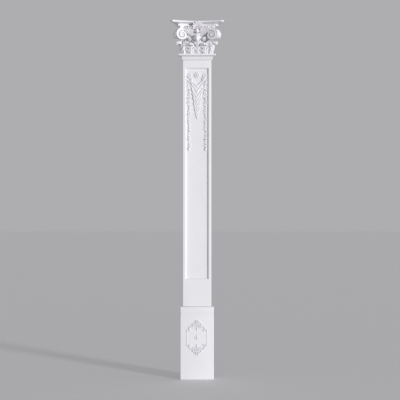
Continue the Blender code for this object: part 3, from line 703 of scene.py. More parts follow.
@dataclass
class ShaftBoard:
    """Long board with a sunk panel, and the cloth, bows, garlands and rosette carved on it."""

    rounding: float = 0.005
    panel_sink: float = 0.014
    side_margin: float = 0.023
    top_margin: float = 0.068
    foot_margin: float = 0.230
    lip: float = 0.002
    cove: float = 0.014
    rosette_drop: float = 0.127
    rosette_radius: float = 0.027
    cloth_drop: float = 0.167
    cloth_half_width: float = 0.053
    cloth_length: float = 0.328
    cloth_sag: float = 0.046
    cloth_relief: float = 0.0118
    bow_spacing: float = 0.0625
    garland_spacing: float = 0.0705
    garland_drop: float = 0.160
    garland_length: float = 0.600
    leaf_pitch: float = 0.0225
    leaf_length: float = 0.0335
    leaf_width: float = 0.0170
    garland_relief: float = 0.0095
    tip_share: float = 0.55

    def __post_init__(self) -> None:
        """Take the board's place and size from its solid."""
        low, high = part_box("shaft")
        self.foot = low[2]
        self.top = high[2]
        self.half_width = high[0]
        self.depth = -low[1]
        self.panel_depth = self.depth - self.panel_sink

    def board(self, carving: Carving) -> None:
        """Add the board: rectangles nested from the wall, over its edge and down into the panel.

        Args:
            carving: Carving that the board joins.
        """
        edge = self.rounding
        sweep = np.linspace(0.0, 0.5 * math.pi, 7)
        outer = [(0.0, 0.0)]
        outer += list(zip(edge * (1.0 - np.cos(sweep)), self.depth - edge + edge * np.sin(sweep)))
        rings = []
        for inset, depth in outer:
            rings.append(self.rectangle(self.half_width - inset, self.foot + inset,
                                        self.top - inset, depth))
        drop = self.panel_sink - self.lip
        inner = [(-0.0012, 0.0), (0.0, 0.0010), (0.0, self.lip)]
        sweep = np.linspace(0.0, 0.5 * math.pi, 12)[1:]
        inner += list(zip(self.cove * (1.0 - np.cos(sweep)), self.lip + drop * np.sin(sweep)))
        for inset, sink in inner:
            rings.append(self.rectangle(self.half_width - self.side_margin - inset,
                                        self.foot + self.foot_margin + inset,
                                        self.top - self.top_margin - inset, self.depth - sink))
        carving.rings(np.array(rings))

    @staticmethod
    def rectangle(half: float, low: float, high: float, depth: float) -> np.ndarray:
        """Upright rectangle standing depth out from the wall, with points along each side.

        Args:
            half: Half its width.
            low: Height of its lower edge.
            high: Height of its upper edge.
            depth: How far it stands out.

        Returns:
            Ring of points.
        """
        corners = np.array(((-half, low), (half, low), (half, high), (-half, high), (-half, low)))
        share = np.linspace(0.0, 1.0, 5)[:-1]
        runs = [corners[side] + (corners[side + 1] - corners[side]) * share[:, None]
                for side in range(4)]
        ring = np.concatenate(runs)
        return at(ring[:, 0], depth, ring[:, 1])

    def cloth(self, carving: Carving) -> None:
        """Add the pointed cloth that hangs in nested V folds.

        At share s down the cloth, its middle hangs at sag + (length - sag) s and its edges at
        length s^1.6, joined by sqrt(v^2 + 0.012). The half-width closes as (1 - drop)^0.8 and
        steps out where each fold turns over. Over each fold the height rises fast and falls back
        slowly, and the folds are spaced unevenly, as cloth hangs.

        Args:
            carving: Carving that the cloth joins.
        """
        share = np.linspace(0.0, 1.0, 200)[:, None]
        across = np.linspace(-1.0, 1.0, 65)[None, :]
        reach = np.sqrt(across ** 2 + 0.012) - 0.006
        edge_drop = self.cloth_length * share ** 1.6
        middle_drop = self.cloth_sag + (self.cloth_length - self.cloth_sag) * share
        drop = middle_drop + (edge_drop - middle_drop) * np.clip(reach, 0.0, 1.0)
        fold = np.interp(share[:, 0], (0.0, 0.135, 0.345, 0.49, 0.60, 0.70, 0.80, 0.90, 1.0),
                         (0.0, 1.0, 2.0, 3.0, 4.0, 5.0, 6.0, 7.0, 8.0))[:, None]
        wander = 0.16 * np.sin(2.3 * fold + 1.1) * across
        phase = part(fold + wander * ease(8.0 * share) * ease(6.0 * (1.0 - share)))
        closing = np.clip(1.0 - edge_drop / self.cloth_length, 0.0, 1.0) ** 0.8
        step = 0.045 * (0.5 - phase) * np.clip(4.0 * share, 0.0, 1.0) * closing ** 0.5
        half = self.cloth_half_width * np.clip(closing + step, 0.012, 1.02)
        rise = np.where(phase < 0.20, ease(phase / 0.20), 0.5 + 0.5 * np.cos(
            math.pi * (phase - 0.20) / 0.80))
        strength = 0.62 - 0.20 * np.abs(across) + 0.08 * np.sin(5.0 * share + across)
        lift = 0.32 + strength * rise + 0.26 * np.abs(across) ** 3
        lift = lift * (1.0 - 0.25 * share)
        lift = self.cloth_relief * np.clip(lift, 0.06, 1.0)
        flat = at(half * across, self.panel_depth, self.top - self.cloth_drop - drop)
        carving.sheet(flat + FRONT * lift[..., None], flat - FRONT * 0.004)

    def bow(self, carving: Carving, hand: Hand) -> None:
        """Add a ribbon: an upright loop, its knot and crossed tails.

        Args:
            carving: Carving that the bow joins.
            hand: Side that it hangs on.
        """
        knot = at(hand.value * self.bow_spacing, self.panel_depth, self.top - self.cloth_drop
                  + 0.019)
        relief = 0.86 * self.cloth_relief
        strips = (
            ([(0.0, 0.0), (0.0085, 0.010), (0.0105, 0.026), (0.002, 0.037),
              (-0.0080, 0.028), (-0.0075, 0.011), (0.0, 0.0)], 0.0072, 0.0072),
            ([(0.0, 0.0), (-0.012, -0.007), (-0.022, -0.004), (-0.012, -0.026)], 0.006, 0.009),
            ([(-0.018, 0.006), (-0.002, -0.004), (0.012, -0.014), (0.028, -0.016)],
             0.007, 0.010),
            ([(0.020, 0.008), (0.008, 0.000), (-0.004, -0.014), (-0.008, -0.030)],
             0.007, 0.009),
            ([(0.0, 0.0), (0.014, 0.003), (0.024, 0.012), (0.031, 0.008)], 0.006, 0.009),
        )
        for spots, start, end in strips:
            plane = smooth_path([(hand.value * x, z) for x, z in spots], 34)
            path = knot + RIGHT * plane[:, :1] + UP * plane[:, 1:]
            share = np.linspace(0.0, 1.0, 34)
            wave = relief * (0.78 + 0.22 * np.sin(9.0 * share))
            Strand(path, start + (end - start) * share, wave, flute=0.30).carve(carving)
        Boss(knot, FRONT, 0.0082, 1.08 * relief, 18).carve(carving)

    def garland(self, carving: Carving, hand: Hand) -> None:
        """Add a garland: a stem, leaves in uneven pairs that shrink downwards, flowers and a bud.

        Args:
            carving: Carving that the garland joins.
            hand: Side that it hangs on.
        """
        top = at(hand.value * self.garland_spacing, self.panel_depth, self.top - self.garland_drop)
        share = np.linspace(0.0, 1.0, 90)[:, None]
        path = (top - UP * (self.garland_length - 0.012) * share
                + RIGHT * 0.0028 * np.sin(26.0 * share) * hand.value)
        Strand(path, np.linspace(0.007, 0.0035, 90), 0.55 * self.garland_relief * np.ones(90),
               sides=8).carve(carving)
        count = int(self.garland_length / self.leaf_pitch)
        for index in range(count):
            place = index / count
            size = 1.0 - (1.0 - self.tip_share) * float(ease(1.35 * place))
            sway = 0.0028 * math.sin(26.0 * place) * hand.value
            root = top - UP * self.garland_length * place + RIGHT * sway
            for turn in (-1.0, 1.0):
                lean = 0.60 + 0.28 * math.cos(2.1 * index + 0.8 * turn + hand.value)
                grown = size * (0.92 + 0.14 * math.sin(2.7 * index + 1.9 * turn))
                along = turn * math.sin(lean) * RIGHT - math.cos(lean) * UP
                lead = root - UP * self.leaf_pitch * 0.28 * (1.0 + turn)
                Petal(lead, along, FRONT, self.leaf_length * grown, self.leaf_width * grown,
                      self.garland_relief * (0.74 + 0.26 * math.sin(1.9 * index + turn)),
                      curve=0.003 * turn, veins=3.0, rows=9, columns=7).carve(carving)
            if index % 3 == 1:
                Rosette(root + RIGHT * 0.005 * math.cos(1.3 * index), 0.0115 * size,
                        1.15 * self.garland_relief, 5, sides_each=5).carve(carving)
        Petal(top - UP * (self.garland_length - 0.020), -UP, FRONT, 0.024, 0.010,
              self.garland_relief, veins=0.0, rows=12, columns=9).carve(carving)

    def build(self, material: bpy.types.Material) -> list[bpy.types.Object]:
        """Make the board with its carving.

        Args:
            material: Finish.

        Returns:
            The finished piece, in a list.
        """
        carving = Carving()
        self.board(carving)
        self.cloth(carving)
        for hand in Hand:
            self.bow(carving, hand)
            self.garland(carving, hand)
        centre = at(0.0, self.panel_depth, self.top - self.rosette_drop)
        Rosette(centre, self.rosette_radius, 0.9 * self.cloth_relief, 8).carve(carving)
        return [carving.finish("shaft_moulding", "shaft", material)]


@dataclass
class AcanthusLeaf:
    """Acanthus leaf that climbs, rolls over outwards and hangs, with notched and fluted lobes."""

    foot: np.ndarray
    turned: float
    rise: float
    width: float
    curl: float
    lean: float = 0.10
    droop: float = 0.008
    inset: float = 0.018
    lobes: float = 3.6
    shift: float = 0.05
    calm: float = 0.25
    tip_start: float = 0.80
    tip_share: float = 0.62
    shoulder: float = 0.012
    fill: float = 0.75
    thickness: float = 0.009
    rows: int = 90
    columns: int = 45

    def carve(self, carving: Carving) -> None:
        """Add the leaf.

        The midrib is a straight stem, an arc of radius curl and a short hang. The half-width
        swells from the foot and closes in an ellipse. A lobe is one step of n (s - 0.24 v), so
        the lobes sweep upwards from the midrib to the edge. Between two lobes the edge is
        notched and the surface grooved, with a deep eye where the groove opens, and three flutes
        run up each lobe. The relief changes side where the leaf has rolled over, and towards the
        top the edges sink below the midrib by the square of their reach, so that the head is round.
        The curl is filled and rounded off, and the flanks are undercut below it.

        Args:
            carving: Carving that the leaf joins.
        """
        facing = math.sin(self.turned) * RIGHT + math.cos(self.turned) * FRONT
        side = math.cos(self.turned) * RIGHT - math.sin(self.turned) * FRONT
        turn = 3.0 - self.lean
        share = np.linspace(0.0, 1.0, self.rows)[:, None]
        across = np.linspace(-1.0, 1.0, self.columns)[None, :]
        reach = np.abs(across)
        stem = (self.rise - self.curl) / math.cos(self.lean)
        total = stem + self.curl * turn + self.droop
        length = (share + 0.055 * reach * np.sin(math.pi * share) * (1.0 - share)) * total
        straight = np.minimum(length, stem)
        angle = self.lean + np.clip((length - stem) / self.curl, 0.0, turn)
        hang = np.clip(length - stem - self.curl * turn, 0.0, None)
        out = straight * math.sin(self.lean) + self.curl * (math.cos(self.lean) - np.cos(angle))
        out = out + hang * math.sin(self.lean + turn)
        climb = straight * math.cos(self.lean) + self.curl * (np.sin(angle) - math.sin(self.lean))
        climb = climb + hang * math.cos(self.lean + turn)
        rolled = (angle - self.lean) / turn

        phase = self.lobes * (share - 0.24 * reach) + self.shift
        step = part(phase)
        swell = np.sin(math.pi * step ** 1.2)
        notch = (1.0 - swell) ** 2
        flute = saw(3.0 * phase) ** 4
        body = 0.74 + 0.26 * np.sin(math.pi * share ** 0.8)
        body = body * (1.0 - (1.0 - self.tip_share) * ease((share - 0.42) / 0.32))
        past = np.clip((share - self.tip_start) / (1.0 - self.tip_start), 0.0, 1.0)
        close = np.sqrt(1.0 - 0.985 * past ** 2)
        half = 0.5 * self.width * body * close
        near_top = ease((length - 0.62 * stem) / (0.38 * stem + 1.2 * self.curl))
        climb = climb - self.shoulder * near_top * (2.0 * half * reach / self.width) ** 2
        calm = 1.0 - self.calm * ease(2.2 * rolled)
        half = half * (1.0 - 0.22 * calm * notch * reach ** 2)

        crown = 0.075 * swell * np.sin(math.pi * np.clip(reach, 0.0, 0.999) ** 0.85) ** 0.7
        groove = -0.11 * notch * ease((reach - 0.12) / 0.3)
        eye = -0.19 * (1.0 - swell) ** 3 * bell_curve(reach - 0.56, 0.13)
        flutes = -0.026 * flute * ease((reach - 0.18) / 0.25)
        midrib = 0.055 * bell_curve(reach - 0.13, 0.07) - 0.055 * bell_curve(reach, 0.05)
        ends = ease(np.minimum(share / 0.04, (1.0 - share) / 0.06))
        relief = (crown + groove + eye + flutes + midrib) * np.cos(math.pi * rolled) * calm
        bowed = reach ** 2 * (-0.10 + 0.26 * rolled)
        cup = 0.10 * (1.0 - past) * ease((rolled - 0.5) / 0.3) * (reach ** 2 - 1.0)
        lift = self.width * (bowed + ends * relief + cup)

        normal = facing * np.cos(angle)[..., None] - UP * np.sin(angle)[..., None]
        middle = self.foot + facing * out[..., None] + UP * climb[..., None]
        front = middle + side * (half * across)[..., None] + normal * lift[..., None]
        curled = ease(rolled / 0.4)
        keep = 1.0 + curled * (close * np.sqrt(1.0 - 0.9 * reach ** 2) - 1.0)
        fill = self.fill * self.curl * curled * keep
        upright = np.clip(1.0 - 2.2 * rolled, 0.0, 1.0)
        backing = (stem * math.sin(self.lean) + self.inset) * upright
        back = front - normal * (self.thickness * keep + backing)[..., None]
        back = back - side * (0.40 * half * across * upright)[..., None]
        carving.sheet(front + normal * fill[..., None], back)


@dataclass
class Volute:
    """Volute: a channelled band along a logarithmic spiral over a sunk disc, with an eye."""

    centre: np.ndarray
    across: np.ndarray
    out: np.ndarray
    top_radius: float
    dome: float
    turns: float = 1.9
    shrink: float = 0.44
    band_share: float = 0.45
    relief: float = 0.010
    channel: float = 0.013
    body: float = 0.030
    eye_radius: float = 0.0055
    spring: float = 0.0
    soft_rim: float = 0.0
    steps: int = 84

    def edge(self, turn: np.ndarray) -> np.ndarray:
        """Outer edge of the band after the given part of a turn from its top."""
        return self.top_radius * self.shrink ** turn

    def band(self, carving: Carving) -> None:
        """Add the band: a rounded section with a shallow hollow, along the spiral.

        The radius is top_radius shrink^turn and the band is a fixed share of it. Its face rises
        evenly towards the eye, over a dome that falls off with the square of the radius. Where it
        springs from the bell, it climbs to the top of the spiral along a quarter of an ellipse.

        Args:
            carving: Carving that the band joins.
        """
        turn = np.linspace(0.0, self.turns, int(self.steps * self.turns))[:, None]
        edge = self.edge(turn)
        width = edge * self.band_share
        lift = self.relief * (0.54 + 0.35 * turn)
        share = np.array((0.0, 0.0, 0.012, 0.05, 0.11, 0.19, 0.30, 0.42, 0.55, 0.67, 0.78, 0.87,
                          0.94, 0.985, 1.0, 1.0))[None, :]
        lip = np.array((0.0, -0.22, -0.10, 0.0, 0.045, 0.035, -0.015, -0.045, -0.05, -0.03, 0.01,
                        0.04, 0.03, -0.05, -0.18, 0.0))[None, :]
        solid = np.ones(share.shape)
        solid[0, 0] = solid[0, -1] = 0.0
        radius = edge - share * width
        height = lift + lip * width - self.dome * (radius / self.top_radius) ** 2
        height = height - self.soft_rim * edge * (1.0 - share / 0.35).clip(0.0, 1.0) ** 2
        height = height * solid - self.body * (1.0 - solid)
        way = np.sin(TURN * turn)[..., None] * self.across + np.cos(TURN * turn)[..., None] * UP
        rings = self.centre + way * radius[..., None] + self.out * height[..., None]
        if self.spring > 0.0:
            fall = np.linspace(1.0, 0.0, 34)[:-1, None]
            sweep = 0.5 * math.pi * fall
            narrow = width[0] * (1.0 - 0.60 * fall)
            beside = (0.5 - share) * narrow
            middle = (edge - 0.5 * width)[0]
            along = (self.spring * np.sin(sweep), middle * np.cos(sweep))
            slope = np.hypot(middle * np.sin(sweep), self.spring * np.cos(sweep))
            x = along[0] + beside * middle * np.sin(sweep) / slope
            z = along[1] + beside * self.spring * np.cos(sweep) / slope
            low = lift[0] - self.dome - 0.010 * fall + lip * narrow
            low = low * solid - self.body * (1.0 - solid)
            down = (self.centre - self.across * x[..., None] + UP * z[..., None]
                    + self.out * low[..., None])
            rings = np.concatenate((down, rings))
        carving.rings(rings)

    def disc(self, carving: Carving) -> None:
        """Add the floor of the channel, the boss in its middle and the eye, as turned profiles.

        Args:
            carving: Carving that the disc joins.
        """
        floor = float(self.edge(0.72))
        boss = float(self.edge(1.0)) * (1.0 - self.band_share)
        eye = self.eye_radius
        low = -self.dome * 0.5 - self.channel + 0.5 * self.relief
        top = self.relief * 0.80
        sweep = np.linspace(0.0, 0.5 * math.pi * 0.92, 6)
        radii = [floor, floor, boss, 0.97 * boss, 0.90 * boss, 0.78 * boss, 1.6 * eye,
                 1.35 * eye, 1.08 * eye, *(eye * np.cos(sweep))]
        rise = top - low
        lift = [-self.body - 0.004, low, low, low + 0.62 * rise, low + 0.88 * rise, top,
                top, top - 0.0014, top - 0.0014, *(top - 0.0014 + 0.0034 * np.sin(sweep))]
        angle = np.arange(40) * TURN / 40
        circle = np.sin(angle)[:, None] * self.across + np.cos(angle)[:, None] * UP
        rings = (self.centre + circle[None] * np.array(radii)[:, None, None]
                 + self.out * np.array(lift)[:, None, None])
        carving.rings(rings)

    def carve(self, carving: Carving) -> None:
        """Add the whole volute."""
        self.band(carving)
        self.disc(carving)


@dataclass
class Capital:
    """Carved capital: neck, bell and abacus, with leaves, volutes, sprays and a flower."""

    neck_width: float = 0.257
    neck_depth: float = 0.050
    neck_band: float = 0.014
    cove_height: float = 0.019
    cove_reach: float = 0.0295
    neck_fillet: float = 0.014
    bell_width: float = 0.266
    bell_depth: float = 0.055
    lip_reach: float = 0.022
    abacus_height: float = 0.044
    abacus_wall_width: float = 0.384
    abacus_hollow: float = 0.050
    horn_cut: float = 0.022
    volute_spacing: float = 0.120
    volute_rise: float = 0.202
    volute_depth: float = 0.110
    volute_flare: float = 0.40
    volute_radius: float = 0.062
    side_volute_face: float = 0.2000
    side_volute_depth: float = 0.085
    side_volute_radius: float = 0.050
    lower_leaf_spacing: float = 0.058
    tongue_rise: float = 0.118
    sheath_spacing: float = 0.094
    sheath_rise: float = 0.098
    helix_spacing: float = 0.063
    helix_rise: float = 0.166
    helix_radius: float = 0.019
    fleuron_rise: float = 0.262
    fleuron_eye: float = 0.0092

    def __post_init__(self) -> None:
        """Take the capital's place and size from its solid."""
        low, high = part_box("capital")
        self.foot = low[2]
        self.height = high[2] - low[2]
        self.spread = high[0] - low[0]
        self.depth = -low[1]
        self.bell_foot = self.neck_band + self.cove_height + self.neck_fillet

    @staticmethod
    def plan(z: float, half_wall: float, half_horn: float, depth_horn: float,
             depth_middle: float, cut: float) -> np.ndarray:
        """Plan outline at height z: hollow sides and front, cut corners.

        Args:
            z: Height of the outline.
            half_wall: Half-width where the sides meet the wall.
            half_horn: Half-width at the horns.
            depth_horn: How far the horns stand out.
            depth_middle: How far the middle of the front stands out.
            cut: Length that the corner cut takes off both sides.

        Returns:
            Ring of points, from the wall on the left round the front to the wall on the right.
        """
        side = np.linspace(0.0, 1.0, 10)
        front = np.linspace(-1.0, 1.0, 41)
        side_x = half_wall + (half_horn - half_wall) * side ** 1.6
        side_depth = (depth_horn - cut) * side
        front_depth = depth_middle + (depth_horn - depth_middle) * np.abs(front) ** 1.8
        x = np.concatenate((-side_x, (half_horn - cut) * front, side_x[::-1]))
        depth = np.concatenate((side_depth, front_depth, side_depth[::-1]))
        return at(x, depth, z)

    def core(self, carving: Carving) -> None:
        """Add neck, bell and abacus: plan outlines stacked up one continuous profile.

        Args:
            carving: Carving that the core joins.
        """
        neck = 0.5 * self.neck_width
        sweep = np.linspace(0.0, 0.5 * math.pi, 9)
        rise = [0.0, self.neck_band - 0.0006, self.neck_band]
        reach = [0.0, 0.0, 0.0004]
        rise += list(self.neck_band + self.cove_height * np.sin(sweep[1:]))
        reach += list((self.cove_reach - 0.003) * (1.0 - np.cos(sweep[1:])))
        nose = np.linspace(-0.5 * math.pi, 0.5 * math.pi, 9)
        half_fillet = 0.5 * self.neck_fillet
        rise += list(self.bell_foot - half_fillet + (half_fillet - 0.0002) * np.sin(nose))
        reach += list(self.cove_reach - 0.003 + 0.003 * np.clip(np.cos(nose), 0.0, 1.0) ** 0.5)
        rings = [self.plan(self.foot + z, neck + out, neck + out, self.neck_depth + out,
                           self.neck_depth + out, 0.003) for z, out in zip(rise, reach)]
        bell = 0.5 * self.bell_width
        bell_top = self.height - self.abacus_height
        for share in np.linspace(0.0, 1.0, 14):
            out = self.lip_reach * share ** 5
            z = self.bell_foot + 0.0004 + (bell_top - self.bell_foot - 0.0008) * share
            rings.append(self.plan(self.foot + z, bell + 0.8 * out, bell + 0.8 * out,
                                   self.bell_depth + out, self.bell_depth + out, 0.012))
        for z, inset in self.abacus_profile():
            rings.append(self.plan(self.foot + bell_top + self.abacus_height * z,
                                   0.5 * self.abacus_wall_width - inset,
                                   0.5 * self.spread - inset, self.depth - inset,
                                   self.depth - self.abacus_hollow - 0.7 * inset,
                                   self.horn_cut))
        carving.rings(np.array(rings))

    @staticmethod
    def abacus_profile() -> list[tuple[float, float]]:
        """Abacus profile: fillet, groove, rising hollow, rounded nose and a sloping top edge.

        Returns:
            Pairs of share of the abacus height and inset from its widest outline.
        """
        profile = [(0.0, 0.048), (0.03, 0.0465), (0.26, 0.0465), (0.30, 0.048), (0.33, 0.056),
                   (0.43, 0.056), (0.455, 0.043)]
        sweep = np.linspace(0.0, 0.5 * math.pi, 8)
        profile += list(zip(0.47 + 0.12 * np.sin(sweep), 0.008 + 0.033 * np.cos(sweep)))
        nose = np.linspace(-0.5 * math.pi, 0.5 * math.pi, 9)
        swell = np.clip(np.cos(nose), 0.0, 1.0) ** 0.8
        profile += list(zip(0.78 + 0.17 * np.sin(nose), 0.006 - 0.006 * swell))
        profile += [(0.965, 0.010), (0.985, 0.015), (1.0, 0.022)]
        return profile

    def corner_mass(self, carving: Carving, hand: Hand) -> None:
        """Add the mass behind the corner volutes that ties them to bell and abacus.

        Its plan is half a super-ellipse, x = cos(a)^0.5 and depth = sin(a)^0.5, and stays behind
        the flared face of the front volute. It narrows towards its foot and its head.

        Args:
            carving: Carving that the mass joins.
            hand: Side of the capital.
        """
        rise = self.foot + self.volute_rise
        top = self.foot + self.height - self.abacus_height + 0.002
        radius = self.volute_radius
        level = np.array((rise - 0.52 * radius, rise - 0.40 * radius, rise - 0.1 * radius,
                          rise + 0.45 * radius, rise + 0.8 * radius, top))
        wide = self.side_volute_face - np.array((0.051, 0.040, 0.036, 0.038, 0.044, 0.052))
        nose = self.volute_depth + np.array((-0.014, 0.002, 0.008, 0.006, 0.0, -0.008))
        heights = np.linspace(level[0], level[-1], 22)
        angle = np.linspace(0.0, math.pi, 27)
        cosine = np.sign(np.cos(angle)) * np.abs(np.cos(angle)) ** 0.5
        sine = np.abs(np.sin(angle)) ** 0.5
        inner = self.volute_spacing - 0.028
        rings = []
        for z in heights:
            outer = np.interp(z, level, wide)
            front = np.interp(z, level, nose) - 0.022
            x = 0.5 * (inner + outer) + 0.5 * (outer - inner) * cosine
            face = self.volute_depth + self.volute_flare * (x - self.volute_spacing) - 0.016
            depth = np.minimum(0.022 + front * sine, face)
            rings.append(at(hand.value * x, depth, z))
        carving.rings(np.array(rings))

    def volutes(self, carving: Carving, hand: Hand) -> None:
        """Add the front volute, the side volute and the small inner curl of one side.

        Args:
            carving: Carving that the volutes join.
            hand: Side of the capital.
        """
        rise = self.foot + self.volute_rise
        across = hand.value * RIGHT + self.volute_flare * FRONT
        Volute(at(hand.value * self.volute_spacing, self.volute_depth, rise), across, FRONT,
               self.volute_radius, dome=0.003, shrink=0.46, spring=0.078).carve(carving)
        Volute(at(hand.value * self.side_volute_face, self.side_volute_depth, rise), FRONT,
               hand.value * RIGHT, self.side_volute_radius, dome=0.025, turns=1.6, relief=0.001,
               channel=0.005, soft_rim=0.16, body=0.046, steps=60).carve(carving)
        Volute(at(hand.value * self.helix_spacing, self.bell_depth + 0.030,
                  self.foot + self.helix_rise), -hand.value * RIGHT, FRONT,
               self.helix_radius, dome=0.0, turns=1.4, body=0.030, relief=0.008, channel=0.010,
               eye_radius=0.003, spring=0.034, steps=44).carve(carving)

    def leaves(self, carving: Carving) -> None:
        """Add the two lower leaves, the two corner leaves, the centre leaf and the tongue.

        Args:
            carving: Carving that the leaves join.
        """
        level = self.foot + self.bell_foot - 0.004
        for hand in Hand:
            AcanthusLeaf(at(hand.value * self.lower_leaf_spacing, self.bell_depth + 0.010, level),
                         turned=0.0, rise=0.088, width=0.078, curl=0.0105, droop=0.006,
                         calm=0.55, tip_start=0.76, tip_share=0.95,
                         shoulder=0.014).carve(carving)
            AcanthusLeaf(at(hand.value * (0.5 * self.bell_width - 0.010),
                            self.bell_depth - 0.006, level),
                         turned=hand.value * 0.960, rise=0.106, width=0.058, curl=0.0170,
                         lean=0.26, inset=0.006, droop=0.008, calm=0.95, tip_start=0.60,
                         tip_share=0.80, shoulder=0.024, fill=1.0).carve(carving)
        AcanthusLeaf(at(0.0, self.bell_depth + 0.003, level), turned=0.0, rise=0.153,
                     width=0.078, curl=0.018, lean=0.14, droop=0.030, inset=0.014, lobes=4.6,
                     calm=0.97, tip_start=0.66, tip_share=0.86, shoulder=0.030).carve(carving)
        AcanthusLeaf(at(0.0, self.bell_depth + 0.003, self.foot + self.tongue_rise), turned=0.0,
                     rise=0.127, width=0.064, curl=0.012, lean=0.20, inset=0.010, droop=0.014,
                     calm=0.9, tip_start=0.66, tip_share=0.80, shoulder=0.026, rows=60,
                     columns=31).carve(carving)

    def fleuron(self, carving: Carving) -> None:
        """Add the flower on the abacus: broad leaves fanned round a ringed eye.

        Args:
            carving: Carving that the flower joins.
        """
        heart = at(0.0, self.depth - self.abacus_hollow - 0.002, self.foot + self.fleuron_rise)
        eye = self.fleuron_eye
        for angle, length in ((-1.75, 0.030), (-1.20, 0.034), (-0.72, 0.041), (-0.25, 0.046),
                              (0.25, 0.046), (0.72, 0.041), (1.20, 0.034), (1.75, 0.030)):
            way = math.sin(angle) * RIGHT + math.cos(angle) * UP
            Lobe(heart + 1.5 * eye * way, heart + (eye + length) * way + 0.002 * FRONT, FRONT,
                 0.0175, 0.0125, bend=0.002 * math.copysign(1.0, angle), curl=0.003, sink=0.030,
                 foot_share=0.62, rows=20, columns=13).carve(carving)
        Boss(heart - FRONT * 0.010, FRONT, 2.2 * eye, 0.006, 30, 4, sink=0.030).carve(carving)
        Boss(heart - FRONT * 0.004, FRONT, eye, 0.0135, 24, 6, sink=0.010).carve(carving)

    def spray(self, carving: Carving, hand: Hand) -> None:
        """Add the fan of leaf lobes that spreads outwards under the abacus.

        Args:
            carving: Carving that the lobes join.
            hand: Side of the capital.
        """
        lobes = (((0.016, 0.216), (0.030, 0.262), 0.072, 0.092, 0.018),
                 ((0.021, 0.209), (0.051, 0.274), 0.070, 0.096, 0.020),
                 ((0.027, 0.203), (0.075, 0.276), 0.068, 0.098, 0.020),
                 ((0.034, 0.199), (0.098, 0.271), 0.066, 0.102, 0.019),
                 ((0.042, 0.198), (0.117, 0.263), 0.064, 0.104, 0.016))
        for (x, z), (tip_x, tip_z), depth, tip_depth, width in lobes:
            Lobe(at(hand.value * x, depth, self.foot + z),
                 at(hand.value * tip_x, tip_depth, self.foot + tip_z), FRONT, width, 0.014,
                 bend=-0.006 * hand.value, curl=0.003, sink=0.026).carve(carving)

    def sheath(self, carving: Carving, hand: Hand) -> None:
        """Add the small sheath of three lobes that the volutes of one side spring from.

        Args:
            carving: Carving that the lobes join.
            hand: Side of the capital.
        """
        for tip_x, tip_z, bend in ((0.113, 0.148, -0.006), (0.098, 0.158, 0.0),
                                   (0.083, 0.152, 0.004)):
            Lobe(at(hand.value * self.sheath_spacing, self.bell_depth + 0.004,
                    self.foot + self.sheath_rise),
                 at(hand.value * tip_x, self.bell_depth + 0.026, self.foot + tip_z), FRONT,
                 0.017, 0.013, bend=hand.value * bend, curl=0.004, sink=0.030).carve(carving)

    def build(self, material: bpy.types.Material) -> list[bpy.types.Object]:
        """Make the capital.

        Args:
            material: Finish.

        Returns:
            The finished piece, in a list.
        """
        carving = Carving()
        self.core(carving)
        self.leaves(carving)
        self.fleuron(carving)
        for hand in Hand:
            self.corner_mass(carving, hand)
            self.volutes(carving, hand)
            self.spray(carving, hand)
            self.sheath(carving, hand)
        return [carving.finish("capital_moulding", "capital", material)]


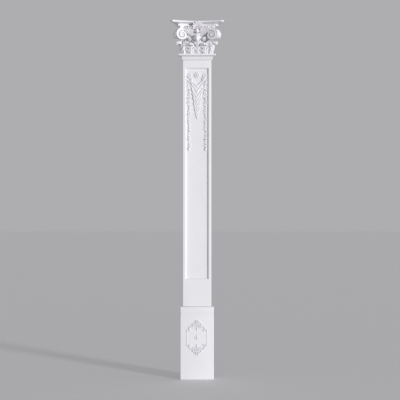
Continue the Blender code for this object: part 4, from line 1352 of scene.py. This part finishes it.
@dataclass
class Studio:
    """Plain pale floor, soft light and the camera."""

    distance: float = 8.5
    frame_width: float = 3.353
    aim_x: float = 0.025
    aim_z: float = 1.504
    sensor: float = 36.0
    key_place: tuple[float, float, float] = (8.9, -8.6, 2.6)
    key_target: tuple[float, float, float] = (0.0, 0.0, 1.5)
    key_strength: float = 2.45
    key_angle: float = math.radians(7.0)
    surround_tone: tuple[float, float, float] = (0.62, 0.62, 0.64)
    surround_strength: float = 0.68
    floor_tone: tuple[float, float, float] = (0.80, 0.80, 0.81)
    floor_half: float = 40.0
    floor_drop: float = 0.0005

    def camera(self) -> None:
        """Face-on camera whose view is frame_width wide at the pilaster's front."""
        data = bpy.data.cameras.new("camera")
        data.sensor_width = self.sensor
        data.lens = self.sensor * self.distance / self.frame_width
        camera = bpy.data.objects.new("camera", data)
        camera.location = (self.aim_x, -self.distance - 0.05, self.aim_z)
        camera.rotation_euler = (0.5 * math.pi, 0.0, 0.0)
        bpy.context.scene.collection.objects.link(camera)
        bpy.context.scene.camera = camera

    def floor(self) -> None:
        """Wide matt floor just under the base."""
        mesh = bpy.data.meshes.new("floor")
        corners = [(x * self.floor_half, y * self.floor_half, -self.floor_drop)
                   for x, y in ((-1, -1), (1, -1), (1, 1), (-1, 1))]
        mesh.from_pydata(corners, [], [(0, 1, 2, 3)])
        material = bpy.data.materials.new("pale_floor")
        material.use_nodes = True
        shader = material.node_tree.nodes["Principled BSDF"]
        shader.inputs["Base Color"].default_value = (*self.floor_tone, 1.0)
        shader.inputs["Roughness"].default_value = 0.9
        mesh.materials.append(material)
        floor = bpy.data.objects.new("floor", mesh)
        bpy.context.scene.collection.objects.link(floor)

    def lights(self) -> None:
        """Soft key from the upper right, as even as a far window, and a pale surround."""
        data = bpy.data.lights.new("key", "SUN")
        data.energy = self.key_strength
        data.angle = self.key_angle
        lamp = bpy.data.objects.new("key", data)
        lamp.location = self.key_place
        aim = Vector(self.key_target) - Vector(self.key_place)
        lamp.rotation_euler = aim.to_track_quat("-Z", "Y").to_euler()
        bpy.context.scene.collection.objects.link(lamp)
        world = bpy.data.worlds.new("surround")
        world.use_nodes = True
        ground = world.node_tree.nodes["Background"]
        ground.inputs["Color"].default_value = (*self.surround_tone, 1.0)
        ground.inputs["Strength"].default_value = self.surround_strength
        bpy.context.scene.world = world

    def build(self) -> None:
        """Make camera, floor and lights, and show light as it falls."""
        bpy.context.scene.view_settings.view_transform = "Standard"
        self.camera()
        self.floor()
        self.lights()


def main() -> None:
    """Build the three mouldings and the studio, and note the sizes."""
    logging.basicConfig(level=logging.INFO, format="%(message)s")
    Studio().build()
    finish = PaintedResin("painted_resin", (0.845, 0.835, 0.860), (0.800, 0.790, 0.815))
    material = finish.build()
    for moulding in (BaseBlock(), ShaftBoard(), Capital()):
        for piece in moulding.build(material):
            LOG.info("made %s", piece.name)


if __name__ == "__main__":
    main()
